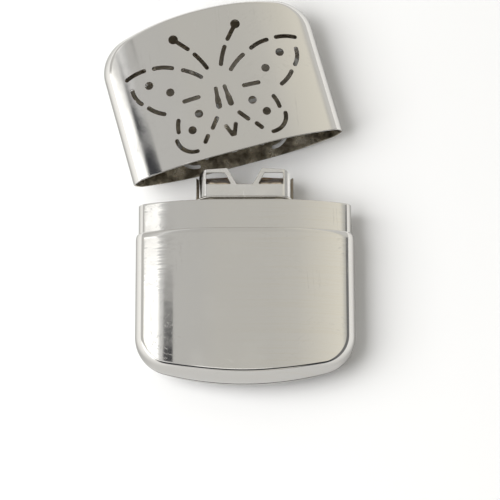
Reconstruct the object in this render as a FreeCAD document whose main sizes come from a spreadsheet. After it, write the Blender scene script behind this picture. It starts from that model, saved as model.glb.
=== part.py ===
import FreeCAD, Part
import math
import os
import re

from FreeCAD import Placement, Rotation, Vector

# Catalytic hand warmer, laid on its back with the cap taken off beside its neck.
# +Z is up through the case, the tank's long axis is Y with the neck towards +Y, X is the width.
# The origin is the centre of the flat back of the tank. Millimetres.

# Driving sizes: alias, value, what it is.
SIZES = [
    ("case_width", 67.0, "width of tank and cap across X"),
    ("case_depth", 15.5, "depth of tank and cap through Z"),
    ("wall", 0.5, "sheet of the tank and cap shells"),
    ("tank_length", 47.6, "shoulder to the middle of the tank's bottom"),
    ("cap_length", 50.0, "rim to the middle of the cap's closed end"),
    ("corner_radius", 12.0, "corners of the closed ends in plan"),
    ("arch_radius", 96.0, "arch of the closed ends in plan"),
    ("crown_flat", 16.0, "width of the flat middle of front and back"),
    ("side_depth", 4.5, "depth of the case along its sides, where the crown ends"),
    ("edge_radius", 1.7, "rounding where the crown meets the wall"),
    ("least_radius", 0.3, "smallest rounding on an inner surface"),
    ("side_draft", 6.0, "slope of the walls each side of the seam, degrees"),
    ("shoulder_radius", 0.6, "rounding of the tank's shoulder"),
    ("shoulder_land", 1.6, "height of the shell's inward land at the shoulder"),
    ("neck_height", 9.2, "shoulder to the top of the neck"),
    ("cap_clearance", 0.35, "between the cap's inside and the neck"),
    ("collar_lap", 3.0, "how far the collar reaches down inside the shells"),
    ("fit_gap", 0.05, "joint gap of brazed and pressed pieces"),
    ("soft_gap", 0.3, "between soft fillings and what holds them"),
    ("plate_recess", 0.3, "top plate below the collar's edge"),
    ("plate_thickness", 0.5, "top plate of the neck"),
    ("mouth_width", 23.8, "outside width of the filler mouth"),
    ("mouth_depth", 7.0, "outside depth of the filler mouth"),
    ("mouth_wall", 0.4, "sheet of the filler mouth"),
    ("mouth_rise", 2.2, "mouth above the top of the neck"),
    ("mouth_drop", 2.6, "mouth below the top of the neck"),
    ("mouth_flange", 1.6, "width of the mouth's brazing flange"),
    ("gauze_thickness", 0.3, "gauze over the wick"),
    ("gauze_depth", 0.5, "gauze below the lip of the mouth"),
    ("wick_reach", 1.4, "wick below the mouth's lower end"),
    ("push_clearance", 0.2, "between the mouth and the burner's skirt"),
    ("skirt_wall", 0.4, "sheet of the burner's skirt"),
    ("skirt_height", 2.9, "skirt from its foot to the deck"),
    ("deck_thickness", 0.3, "pierced deck under the catalyst"),
    ("deck_hole", 1.2, "diameter of the deck's holes"),
    ("deck_pitch", 2.2, "spacing of the deck's holes"),
    ("guard_side", 1.6, "M-shaped guard wider than the skirt, each side"),
    ("guard_gap", 0.2, "between the skirt and the guard's plates"),
    ("guard_wall", 0.4, "sheet of the guard"),
    ("guard_round", 3.0, "rounding of the guard's ends in plan"),
    ("guard_split", 1.6, "half gap between front and back plates at the ends"),
    ("guard_foot", 1.64, "foot of the guard above the top of the neck"),
    ("guard_top", 10.8, "tips of the guard above the top of the neck"),
    ("ear_slope", 0.6, "fall of each ear's top towards its outer end"),
    ("ear_round", 2.4, "outer top corner of each ear"),
    ("notch_height", 5.23, "depth of the notch and windows below the guard's tips"),
    ("notch_floor", 5.0, "width of the V notch at its bottom"),
    ("notch_mouth", 10.6, "width of the V notch at its top"),
    ("strip_width", 1.65, "strip between notch and window"),
    ("window_side", 2.2, "outer side of a window from the guard's end"),
    ("top_strip", 1.56, "top of a window below the guard's tips"),
    ("end_bulge", 0.8, "how far the end frames stand out"),
    ("end_height", 7.2, "height of the end frames"),
    ("flange_spread", 0.9, "bead flange wider than the guard, each side"),
    ("flange_thickness", 0.8, "thickness of the bead flange"),
    ("flange_round", 0.35, "rounding of the bead flange"),
    ("mat_height", 2.65, "catalyst mat above the deck"),
    ("lobe_rise", 1.1, "catalyst lobes above the mat behind the windows"),
    ("lobe_inner", 4.6, "inner side of a lobe from the middle"),
    ("vent_slot", 1.3, "width of the cap's air slots"),
    ("vent_dot", 2.55, "diameter of the cap's air holes"),
    ("antenna_dot", 2.95, "diameter of the holes at the antenna tips"),
    ("cap_off_x", -1.9, "middle of the cap's rim across X"),
    ("cap_off_y", 24.7, "middle of the cap's rim beyond the shoulder"),
    ("cap_off_angle", 15.2, "turn of the cap about Z, degrees"),
]

# Air slots of one wing in the cap's own plane: start, end, bulge to the left of the way.
# The first number of a point runs across the cap from its middle, the second up from its rim.
# They are laid out on a cap of this width and length, and move apart with a larger one.
LAYOUT_WIDTH = 67.0
LAYOUT_LENGTH = 50.0
WING_SLOTS = [
    ((9.1, 39.5), (6.4, 36.2), 0.0),
    ((4.8, 33.9), (2.25, 28.65), -0.15),
    ((4.8, 26.2), (9.6, 29.85), 0.25),
    ((12.7, 31.45), (18.1, 33.0), 0.3),
    ((21.2, 33.3), (27.0, 32.3), 0.3),
    ((26.3, 28.4), (24.6, 23.3), 0.5),
    ((22.85, 21.15), (18.8, 17.75), 0.3),
    ((7.3, 20.0), (11.85, 19.8), 0.0),
    ((15.2, 14.3), (16.1, 10.7), 0.15),
    ((17.3, 8.1), (12.1, 3.1), 1.5),
    ((3.6, 11.8), (5.65, 9.1), 0.0),
    ((7.8, 6.95), (9.0, 5.3), 0.0),
    ((1.55, 8.6), (0.35, 5.4), 0.0),
    ((1.4, 21.3), (1.7, 17.0), 0.0),
]
# Wide lower end of each of the two body slots.
BODY_SLOT = ((1.7, 17.6), (1.9, 15.7))
BODY_SLOT_WIDTH = 1.8
WING_DOTS = [(20.95, 28.15), (15.25, 23.95), (8.55, 14.7), (11.85, 10.05)]
ANTENNA_TIP = (9.95, 40.4)

SEAM_Z = "case_depth / 2"  # the seam plane of tank and cap
CROWN_REACH = "( ( case_width - crown_flat ) / 2 )"
CROWN_FALL = "( ( case_depth - side_depth ) / 2 )"
CROWN_RADIUS = f"( ( {CROWN_REACH} ^ 2 + {CROWN_FALL} ^ 2 ) / ( 2 * {CROWN_FALL} ) )"
SPARE = 5.0  # how far construction solids run past the faces that trim them

doc = FreeCAD.newDocument("HandWarmer")
sheet = doc.addObject("Spreadsheet::Sheet", "Sizes")
for row, (alias, size, _) in enumerate(SIZES, start=1):
    sheet.set(f"A{row}", alias)
    sheet.set(f"B{row}", str(size))
    sheet.setAlias(f"B{row}", alias)
doc.recompute()


def sized(text):
    """Point every size's name in an expression at the sheet."""
    names = {alias for alias, _, _ in SIZES}
    return re.sub(r"[a-z_]+", lambda m: f"Sizes.{m[0]}" if m[0] in names else m[0], text)


def value(text):
    """The number that an expression gives now."""
    return float(sheet.evalExpression(sized(text)))


def bind(thing, prop, text):
    thing.setExpression(prop, sized(text))


def new_body(name):
    body = doc.addObject("PartDesign::Body", name)
    body.Label = name
    return body


def new_sketch(body, name, role, offset="0"):
    """A sketch on one of the body's origin planes, moved along the plane's normal."""
    plane = next(f for f in body.Origin.OriginFeatures if f.Role == role)
    sketch = body.newObject("Sketcher::SketchObject", name)
    sketch.AttachmentSupport = [(plane, "")]
    sketch.MapMode = "FlatFace"
    bind(sketch, "AttachmentOffset.Base.z", offset)
    return sketch


def dimension(sketch, name, text, kind, *where):
    """A driving dimension whose value is an expression."""
    import Sketcher

    index = sketch.addConstraint(Sketcher.Constraint(kind, *where, value(text)))
    sketch.renameConstraint(index, name)
    bind(sketch, f"Constraints.{name}", text)


def relate(sketch, *relations):
    import Sketcher

    for relation in relations:
        sketch.addConstraint(Sketcher.Constraint(*relation))


def line(sketch, x1, y1, x2, y2):
    return sketch.addGeometry(Part.LineSegment(Vector(x1, y1, 0), Vector(x2, y2, 0)), False)


def arc(sketch, x, y, radius, start, end):
    circle = Part.Circle(Vector(x, y, 0), Vector(0, 0, 1), radius)
    arc_of = Part.ArcOfCircle(circle, math.radians(start), math.radians(end))
    return sketch.addGeometry(arc_of, False)


def rectangle_sketch(body, name, role, left, right, low, high, offset="0"):
    """A rectangle between four expressions."""
    sketch = new_sketch(body, name, role, offset)
    x1, x2, y1, y2 = value(left), value(right), value(low), value(high)
    a = line(sketch, x1, y1, x2, y1)
    b = line(sketch, x2, y1, x2, y2)
    c = line(sketch, x2, y2, x1, y2)
    d = line(sketch, x1, y2, x1, y1)
    relate(
        sketch,
        ("Coincident", a, 2, b, 1),
        ("Coincident", b, 2, c, 1),
        ("Coincident", c, 2, d, 1),
        ("Coincident", d, 2, a, 1),
        ("Horizontal", a),
        ("Horizontal", c),
        ("Vertical", b),
        ("Vertical", d),
    )
    dimension(sketch, "left", left, "DistanceX", -1, 1, a, 1)
    dimension(sketch, "low", low, "DistanceY", -1, 1, a, 1)
    dimension(sketch, "right", right, "DistanceX", -1, 1, b, 2)
    dimension(sketch, "high", high, "DistanceY", -1, 1, b, 2)
    return sketch


def stadium_sketch(body, name, role, width, depth, offset="0"):
    """A slot shape: two straight sides and two half-round ends, centred on the origin."""
    sketch = new_sketch(body, name, role, offset)
    radius = value(depth) / 2
    reach = value(width) / 2 - radius
    top = line(sketch, -reach, radius, reach, radius)
    right = arc(sketch, reach, 0, radius, -90, 90)
    bottom = line(sketch, reach, -radius, -reach, -radius)
    left = arc(sketch, -reach, 0, radius, 90, 270)
    relate(
        sketch,
        ("Tangent", top, 2, right, 2),
        ("Tangent", right, 1, bottom, 1),
        ("Tangent", bottom, 2, left, 2),
        ("Tangent", left, 1, top, 1),
        ("Horizontal", top),
        ("PointOnObject", right, 3, -1),
        ("Equal", right, left),
    )
    half_reach = f"( {width} ) / 2 - ( {depth} ) / 2"
    dimension(sketch, "right", half_reach, "DistanceX", -1, 1, right, 3)
    dimension(sketch, "left", half_reach, "DistanceX", left, 3, -1, 1)
    dimension(sketch, "round", f"( {depth} ) / 2", "Radius", right)
    return sketch


def round_rect_sketch(body, name, role, width, depth, radius, offset="0"):
    """A rectangle with rounded corners, centred on the origin."""
    sketch = new_sketch(body, name, role, offset)
    x, y, r = value(width) / 2, value(depth) / 2, value(radius)
    top = line(sketch, -x + r, y, x - r, y)
    top_right = arc(sketch, x - r, y - r, r, 0, 90)
    right = line(sketch, x, y - r, x, -y + r)
    low_right = arc(sketch, x - r, -y + r, r, 270, 360)
    bottom = line(sketch, x - r, -y, -x + r, -y)
    low_left = arc(sketch, -x + r, -y + r, r, 180, 270)
    left = line(sketch, -x, -y + r, -x, y - r)
    top_left = arc(sketch, -x + r, y - r, r, 90, 180)
    relate(
        sketch,
        ("Tangent", top, 2, top_right, 2),
        ("Tangent", top_right, 1, right, 1),
        ("Tangent", right, 2, low_right, 2),
        ("Tangent", low_right, 1, bottom, 1),
        ("Tangent", bottom, 2, low_left, 2),
        ("Tangent", low_left, 1, left, 1),
        ("Tangent", left, 2, top_left, 2),
        ("Tangent", top_left, 1, top, 1),
        ("Horizontal", top),
        ("Horizontal", bottom),
        ("Vertical", right),
        ("Vertical", left),
        ("Equal", top_right, low_right),
        ("Equal", top_right, low_left),
    )
    dimension(sketch, "right", f"( {width} ) / 2", "DistanceX", -1, 1, right, 1)
    dimension(sketch, "left", f"( {width} ) / 2", "DistanceX", left, 1, -1, 1)
    dimension(sketch, "high", f"( {depth} ) / 2", "DistanceY", -1, 1, top, 1)
    dimension(sketch, "low", f"( {depth} ) / 2", "DistanceY", bottom, 1, -1, 1)
    dimension(sketch, "round", radius, "Radius", top_right)
    return sketch


def pad(body, sketch, length, reverse=False, draft=None, both=False):
    feature = body.newObject("PartDesign::Pad", f"{sketch.Name}_pad")
    feature.Profile = sketch
    feature.SideType = "Symmetric" if both else "One side"
    feature.Reversed = reverse
    bind(feature, "Length", length)
    if draft:
        bind(feature, "TaperAngle", draft)
    return feature


def pocket(body, sketch, length, reverse=False, both=False):
    """A cut. Its volume is compared later, because one that points away cuts nothing."""
    feature = body.newObject("PartDesign::Pocket", f"{sketch.Name}_cut")
    feature.Profile = sketch
    feature.SideType = "Symmetric" if both else "One side"
    feature.Reversed = reverse
    bind(feature, "Length", length)
    return feature


def round_edges(body, feature, edges, radius):
    names = [f"Edge{i}" for i, edge in enumerate(feature.Shape.Edges, start=1) if edges(edge)]
    rounding = body.newObject("PartDesign::Fillet", f"{feature.Name}_round")
    rounding.Base = (feature, names)
    bind(rounding, "Radius", radius)
    return rounding


# ---- the case's form: the upper half of tank, cap, neck or filling, at some inset ----


def outline_sketch(body, name, inset, length):
    """Plan of the case on the seam plane: open end up, arched end down, shoulder at Y 0."""
    sketch = new_sketch(body, name, "XY_Plane")
    half = value(f"case_width / 2 - ( {inset} )")
    r = value(f"corner_radius - ( {inset} )")
    big_r = value(f"arch_radius - ( {inset} )")
    arch_y = value(f"arch_radius - ( {length} )")
    open_y = value("neck_height") + SPARE
    corner_y = arch_y - math.sqrt((big_r - r) ** 2 - (half - r) ** 2)
    turn = math.degrees(math.atan2(half - r, arch_y - corner_y))
    right = line(sketch, half, open_y, half, corner_y)
    low_right = arc(sketch, half - r, corner_y, r, 270 + turn, 360)
    arch = arc(sketch, 0, arch_y, big_r, 270 - turn, 270 + turn)
    low_left = arc(sketch, -half + r, corner_y, r, 180, 270 - turn)
    left = line(sketch, -half, corner_y, -half, open_y)
    top = line(sketch, -half, open_y, half, open_y)
    relate(
        sketch,
        ("Tangent", right, 2, low_right, 2),
        ("Tangent", low_right, 1, arch, 2),
        ("Tangent", arch, 1, low_left, 2),
        ("Tangent", low_left, 1, left, 1),
        ("Coincident", left, 2, top, 1),
        ("Coincident", top, 2, right, 1),
        ("Horizontal", top),
        ("Vertical", right),
        ("Vertical", left),
        ("Equal", low_right, low_left),
        ("PointOnObject", arch, 3, -2),
    )
    dimension(sketch, "corner", f"corner_radius - ( {inset} )", "Radius", low_right)
    dimension(sketch, "arch", f"arch_radius - ( {inset} )", "Radius", arch)
    dimension(sketch, "arch_y", f"arch_radius - ( {length} )", "DistanceY", -1, 1, arch, 3)
    dimension(sketch, "right", f"case_width / 2 - ( {inset} )", "DistanceX", -1, 1, right, 1)
    dimension(sketch, "left", f"case_width / 2 - ( {inset} )", "DistanceX", left, 2, -1, 1)
    dimension(sketch, "open_y", f"neck_height + {SPARE}", "DistanceY", -1, 1, top, 1)
    return sketch


def crown_sketch(body, name, inset):
    """What is cut away above the crown: flat in the middle, falling to the sides."""
    sketch = new_sketch(body, name, "XZ_Plane")
    high, edge = f"case_depth / 2 - ( {inset} )", "case_width / 2 + 1"
    flat, lid = value("crown_flat / 2"), f"case_depth / 2 + {SPARE}"
    r, x, z, top = value(f"{CROWN_RADIUS} - ( {inset} )"), value(edge), value(high), value(lid)
    start = math.degrees(math.acos((x - flat) / r))
    z_end = z - r + r * math.sin(math.radians(start))
    right = arc(sketch, flat, z - r, r, start, 90)
    middle = line(sketch, flat, z, -flat, z)
    left = arc(sketch, -flat, z - r, r, 90, 180 - start)
    left_up = line(sketch, -x, z_end, -x, top)
    over = line(sketch, -x, top, x, top)
    right_down = line(sketch, x, top, x, z_end)
    relate(
        sketch,
        ("Tangent", right, 2, middle, 1),
        ("Tangent", middle, 2, left, 1),
        ("Coincident", left, 2, left_up, 1),
        ("Coincident", left_up, 2, over, 1),
        ("Coincident", over, 2, right_down, 1),
        ("Coincident", right_down, 2, right, 1),
        ("Horizontal", middle),
        ("Horizontal", over),
        ("Vertical", left_up),
        ("Vertical", right_down),
        ("Equal", right, left),
    )
    dimension(sketch, "crown", f"{CROWN_RADIUS} - ( {inset} )", "Radius", right)
    dimension(sketch, "flat_right", "crown_flat / 2", "DistanceX", -1, 1, middle, 1)
    dimension(sketch, "flat_left", "crown_flat / 2", "DistanceX", middle, 2, -1, 1)
    dimension(sketch, "high", high, "DistanceY", -1, 1, middle, 1)
    dimension(sketch, "edge_right", edge, "DistanceX", -1, 1, right_down, 1)
    dimension(sketch, "edge_left", edge, "DistanceX", left_up, 2, -1, 1)
    dimension(sketch, "lid", lid, "DistanceY", -1, 1, over, 1)
    return sketch


def half_case(name, inset, length, high, low=None):
    """Upper half of the case's form, this far inside its outer surface.

    It is padded from the seam plane with a draft, cut to the crown, rounded along the
    edge of the crown and trimmed square at high, and at low where one is given.
    """
    body = new_body(name)
    walls = pad(
        body,
        outline_sketch(body, f"{name}_outline", inset, length),
        f"case_depth / 2 + {SPARE / 2}",
        draft="-side_draft",
    )
    crown = pocket(
        body,
        crown_sketch(body, f"{name}_crown", inset),
        f"4 * ( {length} + neck_height + {SPARE} )",
        both=True,
    )
    doc.recompute()
    flat = value("crown_flat / 2")
    open_y = value("neck_height") + SPARE

    def on_crown_edge(edge):
        ends = [vertex.Point for vertex in edge.Vertexes]
        low_end = min(point.z for point in ends)
        at_open_end = all(point.y > open_y - SPARE for point in ends)
        along_flat = all(abs(abs(point.x) - flat) < 1e-4 for point in ends)
        return low_end > 0.1 and not at_open_end and not along_flat

    tip = round_edges(body, crown, on_crown_edge, f"max(edge_radius - ( {inset} ); least_radius)")
    width = "case_width / 2 + 1"
    for side, start, end in (
        ("above", high, f"neck_height + {2 * SPARE}"),
        ("below", f"-( {length} ) - {SPARE}", low),
    ):
        if start is None or end is None:
            continue
        trim = rectangle_sketch(
            body, f"{name}_{side}", "XY_Plane", f"-( {width} )", width, start, end
        )
        tip = pocket(body, trim, f"case_depth / 2 + {SPARE}", reverse=True)
    body.Tip = tip
    doc.recompute()
    return body


def combine(kind, name, first, second):
    feature = doc.addObject(kind, name)
    feature.Label = name
    feature.Base = first
    feature.Tool = second
    return feature


def mirrored(name, source, plane_z="0"):
    """The same piece on the other side of the seam plane."""
    feature = doc.addObject("Part::Mirroring", name)
    feature.Label = name
    feature.Source = source
    feature.Normal = Vector(0, 0, 1)
    bind(feature, "Base.z", plane_z)
    return feature


def whole(name, half):
    """Both halves as one solid."""
    feature = combine("Part::Fuse", name, half, mirrored(f"{name}_lower", half))
    feature.Refine = True
    return feature


def place_on_tank(feature):
    """From the case's own frame, shoulder and seam at 0, to where the tank lies."""
    feature.Placement = Placement()
    bind(feature, "Placement.Base.y", "tank_length / 2")
    bind(feature, "Placement.Base.z", SEAM_Z)
    return feature


def place_cap(feature):
    """From the case's own frame to the cap lying off the tank, closed end away from it."""
    turn = value("180 + cap_off_angle")
    feature.Placement = Placement(Vector(), Rotation(Vector(0, 0, 1), turn))
    bind(feature, "Placement.Base.x", "cap_off_x")
    bind(feature, "Placement.Base.y", "tank_length / 2 + cap_off_y")
    bind(feature, "Placement.Base.z", SEAM_Z)
    bind(feature, "Placement.Rotation.Angle", "180 + cap_off_angle")
    return feature


def place_on_neck(feature):
    """From the frame at the middle of the neck's top edge."""
    feature.Placement = Placement()
    bind(feature, "Placement.Base.y", "tank_length / 2 + neck_height")
    bind(feature, "Placement.Base.z", SEAM_Z)
    return feature


# ---- tank ----

NECK_INSET = "( wall + cap_clearance )"
LINING_INSET = "( 2 * wall + cap_clearance )"


def make_tank_shells():
    outer = half_case("tank_outer", "0", "tank_length", "0")
    rim = round_edges(
        outer,
        outer.Tip,
        lambda edge: all(abs(v.Point.y) < 1e-4 for v in edge.Vertexes)
        and max(v.Point.z for v in edge.Vertexes) > 1e-4,
        "shoulder_radius",
    )
    outer.Tip = rim
    doc.recompute()
    core = half_case("tank_core", "wall", "tank_length - wall", "-shoulder_land")
    opening = half_case(
        "tank_opening", f"{NECK_INSET} - fit_gap", "tank_length", "1", "-2 * shoulder_land"
    )
    hollow = combine("Part::Cut", "tank_hollow", outer, core)
    front = combine("Part::Cut", "tank_front_shell", hollow, opening)
    return [place_on_tank(front), mirrored("tank_back_shell", front, SEAM_Z)]


def make_neck_collar():
    outer = half_case("collar_outer", NECK_INSET, "tank_length", "neck_height", "-collar_lap")
    inner = half_case(
        "collar_inner", LINING_INSET, "tank_length", "neck_height + 1", "-collar_lap - 1"
    )
    half = combine("Part::Cut", "collar_half", outer, inner)
    return place_on_tank(whole("neck_collar", half))


def make_neck_top_plate():
    top = "neck_height - plate_recess"
    half = half_case(
        "plate_half", f"{LINING_INSET} + fit_gap", "tank_length", top, f"{top} - plate_thickness"
    )
    blank = whole("plate_blank", half)
    hole = new_body("plate_hole")
    width, depth = "mouth_width + 2 * fit_gap", "mouth_depth + 2 * fit_gap"
    oval = stadium_sketch(hole, "plate_hole_oval", "XZ_Plane", width, depth)
    pad(hole, oval, "4 * neck_height", both=True)
    return place_on_tank(combine("Part::Cut", "neck_top_plate", blank, hole))


def make_cotton_wadding():
    deep = half_case(
        "cotton_deep",
        "wall + soft_gap",
        "tank_length - wall - soft_gap",
        "-collar_lap - soft_gap",
    )
    in_neck = half_case(
        "cotton_neck",
        f"{LINING_INSET} + soft_gap",
        "tank_length",
        "neck_height - mouth_drop - wick_reach - soft_gap",
        "-collar_lap - 2",
    )
    half = combine("Part::Fuse", "cotton_half", deep, in_neck)
    return place_on_tank(whole("cotton_wadding", half))


# ---- upright pieces on the neck: plan in XZ, height along +Y ----


def oval_block(body, name, width, depth, low, high):
    """A stadium-shaped block between two heights."""
    sketch = stadium_sketch(body, name, "XZ_Plane", width, depth, f"-( {low} )")
    return pad(body, sketch, f"( {high} ) - ( {low} )", reverse=True)


def oval_hole(body, name, width, depth, low, high):
    sketch = stadium_sketch(body, name, "XZ_Plane", width, depth, f"-( {low} )")
    return pocket(body, sketch, f"( {high} ) - ( {low} )")


PLATE_UNDER = "( -plate_recess - plate_thickness )"


def make_filler_mouth():
    """Oval tube through the top plate, with a flange brazed under it."""
    body = new_body("filler_mouth")
    oval_block(body, "mouth_tube", "mouth_width", "mouth_depth", "-mouth_drop", "mouth_rise")
    oval_block(
        body,
        "mouth_rim",
        "mouth_width + 2 * mouth_flange",
        "mouth_depth + 2 * mouth_flange",
        f"{PLATE_UNDER} - mouth_wall",
        PLATE_UNDER,
    )
    oval_hole(
        body,
        "mouth_bore",
        "mouth_width - 2 * mouth_wall",
        "mouth_depth - 2 * mouth_wall",
        "-mouth_drop - 1",
        "mouth_rise + 1",
    )
    return place_on_neck(body)


MOUTH_BORE = ("mouth_width - 2 * mouth_wall", "mouth_depth - 2 * mouth_wall")


def make_mouth_gauze():
    body = new_body("mouth_gauze")
    width, depth = (f"{size} - 2 * fit_gap" for size in MOUTH_BORE)
    top = "mouth_rise - gauze_depth"
    oval_block(body, "gauze_disc", width, depth, f"{top} - gauze_thickness", top)
    return place_on_neck(body)


def make_wick_felt():
    body = new_body("wick_felt")
    width, depth = (f"{size} - 2 * fit_gap" for size in MOUTH_BORE)
    top = "mouth_rise - gauze_depth - gauze_thickness - fit_gap"
    oval_block(body, "wick_block", width, depth, "-mouth_drop - wick_reach", top)
    return place_on_neck(body)


# ---- burner ----

SKIRT = (
    "( mouth_width + 2 * push_clearance + 2 * skirt_wall )",
    "( mouth_depth + 2 * push_clearance + 2 * skirt_wall )",
)
GUARD = (
    f"( {SKIRT[0]} + 2 * guard_side )",
    f"( {SKIRT[1]} + 2 * guard_gap + 2 * guard_wall )",
)
GUARD_BORE = tuple(f"( {size} - 2 * guard_wall )" for size in GUARD)
NOTCH_SILL = "( guard_top - notch_height )"
WINDOW_OUTER = f"( {GUARD[0]} / 2 - window_side )"


def make_burner_base():
    """Oval skirt that pushes over the mouth."""
    body = new_body("burner_base")
    oval_block(body, "skirt_outer", *SKIRT, "0", "skirt_height")
    oval_hole(
        body,
        "skirt_bore",
        "mouth_width + 2 * push_clearance",
        "mouth_depth + 2 * push_clearance",
        "-1",
        "skirt_height + 1",
    )
    return place_on_neck(body)


def make_burner_flange():
    """Bead flange round the skirt that the guard stands on."""
    body = new_body("burner_flange")
    block = oval_block(
        body,
        "flange_disc",
        *(f"{size} + 2 * flange_spread" for size in GUARD),
        "guard_foot - flange_thickness",
        "guard_foot",
    )
    doc.recompute()
    rounded = round_edges(
        body,
        block,
        lambda edge: edge.BoundBox.YLength < 1e-4,
        "min(flange_round; 0.45 * flange_thickness)",
    )
    doc.recompute()
    hole = oval_hole(
        body,
        "flange_hole",
        *(f"{size} + 2 * fit_gap" for size in SKIRT),
        "guard_foot - flange_thickness - 1",
        "guard_foot + 1",
    )
    body.Tip = hole
    assert rounded.Shape.Volume < block.Shape.Volume
    return place_on_neck(body)


def make_vapour_deck():
    """Plate on top of the skirt, pierced in three rows."""
    body = new_body("vapour_deck")
    oval_block(body, "deck_plate", *SKIRT, "skirt_height", "skirt_height + deck_thickness")
    columns = int((value(SKIRT[0]) - value(SKIRT[1])) / value("deck_pitch") / 2)
    holes = new_sketch(body, "deck_holes", "XZ_Plane", "-skirt_height + 1")
    for across in range(-columns, columns + 1):
        for deep in (-1, 0, 1):
            centre = Vector(across * value("deck_pitch"), deep * value("deck_pitch"), 0)
            circle = Part.Circle(centre, Vector(0, 0, 1), value("deck_hole / 2"))
            holes.addGeometry(circle, False)
    pocket(body, holes, "deck_thickness + 2")
    return place_on_neck(body)


def make_catalyst_mat():
    """Platinum glass wool: one mat with a raised lobe behind each window."""
    body = new_body("catalyst_mat")
    width, depth = (f"{size} - 2 * soft_gap" for size in GUARD_BORE)
    floor = "skirt_height + deck_thickness + fit_gap"
    top = f"{floor} + mat_height"
    oval_block(body, "mat_block", width, depth, floor, top)
    for side, sign in (("right", ""), ("left", "-")):
        inner, outer = f"{sign}lobe_inner", f"{sign}{WINDOW_OUTER}"
        left, right = (inner, outer) if not sign else (outer, inner)
        half = f"( {depth} ) / 2"
        lobe = rectangle_sketch(
            body, f"lobe_{side}", "XZ_Plane", left, right, f"-( {half} )", half, f"-( {floor} )"
        )
        pad(body, lobe, "mat_height + lobe_rise", reverse=True)
    return place_on_neck(body)


def guard_profile(body):
    """What is cut from the guard's front: the V notch, the ears' corners and the windows."""
    sketch = new_sketch(body, "guard_openings", "XY_Plane")
    sill, tip, sky = value(NOTCH_SILL), value("guard_top"), value("guard_top") + SPARE
    floor_x, mouth_x = value("notch_floor / 2"), value("notch_mouth / 2")
    slant = (mouth_x - floor_x) / (tip - sill)
    strip, win_x = value("strip_width"), value(WINDOW_OUTER)
    win_top = value("guard_top - top_strip")
    for side in (1, -1):
        corners = [
            (floor_x + strip, sill),
            (win_x, sill),
            (win_x, win_top),
            (floor_x + strip + slant * (win_top - sill), win_top),
        ]
        draw_loop(sketch, [(side * x, y) for x, y in corners])
        add_ear_corner(sketch, side)
    wide = mouth_x + slant * SPARE
    draw_loop(sketch, [(-floor_x, sill), (floor_x, sill), (wide, sky), (-wide, sky)])
    return sketch


def draw_loop(sketch, corners):
    """A closed loop of lines, joined at its corners."""
    count = len(corners)
    lines = [line(sketch, *corners[i], *corners[(i + 1) % count]) for i in range(count)]
    for i, this in enumerate(lines):
        relate(sketch, ("Coincident", this, 2, lines[(i + 1) % count], 1))


def add_ear_corner(sketch, side):
    """Cut over one ear: a falling top edge that ends in a round corner."""
    edge, tip = value(f"{GUARD[0]} / 2"), value("guard_top")
    inner, radius = value("notch_mouth / 2"), value("ear_round")
    fall = math.atan2(value("ear_slope"), edge - inner)
    # The round is tangent to the sloping top and to the ear's upright side.
    centre_x = edge - radius
    slope_y = tip - (centre_x - inner) * math.tan(fall)
    centre_y = slope_y - radius / math.cos(fall)
    top_x = centre_x + radius * math.sin(fall)
    top_y = centre_y + radius * math.cos(fall)
    sky, out = tip + SPARE, edge + 1
    start, end = (0, 90 - math.degrees(fall))
    if side < 0:
        start, end = 90 + math.degrees(fall), 180
    corner = arc(sketch, side * centre_x, centre_y, radius, start, end)
    upright_end, top_end = (1, 2) if side > 0 else (2, 1)
    slope = line(sketch, side * top_x, top_y, side * (inner - 1), tip + math.tan(fall))
    up = line(sketch, side * (inner - 1), tip + math.tan(fall), side * (inner - 1), sky)
    over = line(sketch, side * (inner - 1), sky, side * out, sky)
    down = line(sketch, side * out, sky, side * out, centre_y)
    foot = line(sketch, side * out, centre_y, side * edge, centre_y)
    relate(
        sketch,
        ("Coincident", corner, top_end, slope, 1),
        ("Coincident", slope, 2, up, 1),
        ("Coincident", up, 2, over, 1),
        ("Coincident", over, 2, down, 1),
        ("Coincident", down, 2, foot, 1),
        ("Coincident", foot, 2, corner, upright_end),
    )


def make_guard_plates():
    """Front plate: half of a round-cornered tube, cut to an M with two windows."""
    body = new_body("guard_front")
    foot = "-guard_foot"
    height = "guard_top - guard_foot"
    outer = round_rect_sketch(
        body, "guard_outer", "XZ_Plane", *GUARD, "guard_round", foot
    )
    pad(body, outer, height, reverse=True)
    inner = round_rect_sketch(
        body, "guard_inner", "XZ_Plane", *GUARD_BORE, "guard_round - guard_wall", foot
    )
    pocket(body, inner, height)
    behind = rectangle_sketch(
        body,
        "guard_behind",
        "XZ_Plane",
        f"-{GUARD[0]}",
        GUARD[0],
        f"-{GUARD[1]}",
        "guard_split",
        foot,
    )
    pocket(body, behind, height)
    pocket(body, guard_profile(body), GUARD[1], reverse=True)
    doc.recompute()
    return [place_on_neck(body), mirrored("guard_back", body, SEAM_Z)]


def make_guard_end_frames():
    """Two bowed strips that close the ends of the guard, bulging in plan."""
    shapes = []
    edge = value(f"{GUARD[0]} / 2 + fit_gap")
    half = value(f"{GUARD[1]} / 2 - guard_round / 2")
    low, high = value("guard_foot"), value("guard_foot + end_height")
    bulge = value("end_bulge")
    for side in (1, -1):
        front = Vector(side * edge, low, half)
        back = Vector(side * edge, low, -half)
        middle = Vector(side * (edge + bulge), low, 0)
        bow = Part.Arc(front, middle, back).toShape()
        face = Part.Face(Part.Wire([bow, Part.makeLine(back, front)]))
        shapes.append(face.extrude(Vector(0, high - low, 0)))
    feature = doc.addObject("Part::Feature", "guard_end_frames")
    feature.Label = "guard_end_frames"
    feature.Shape = Part.makeCompound(shapes)
    return place_on_neck(feature)


# ---- cap ----


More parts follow.
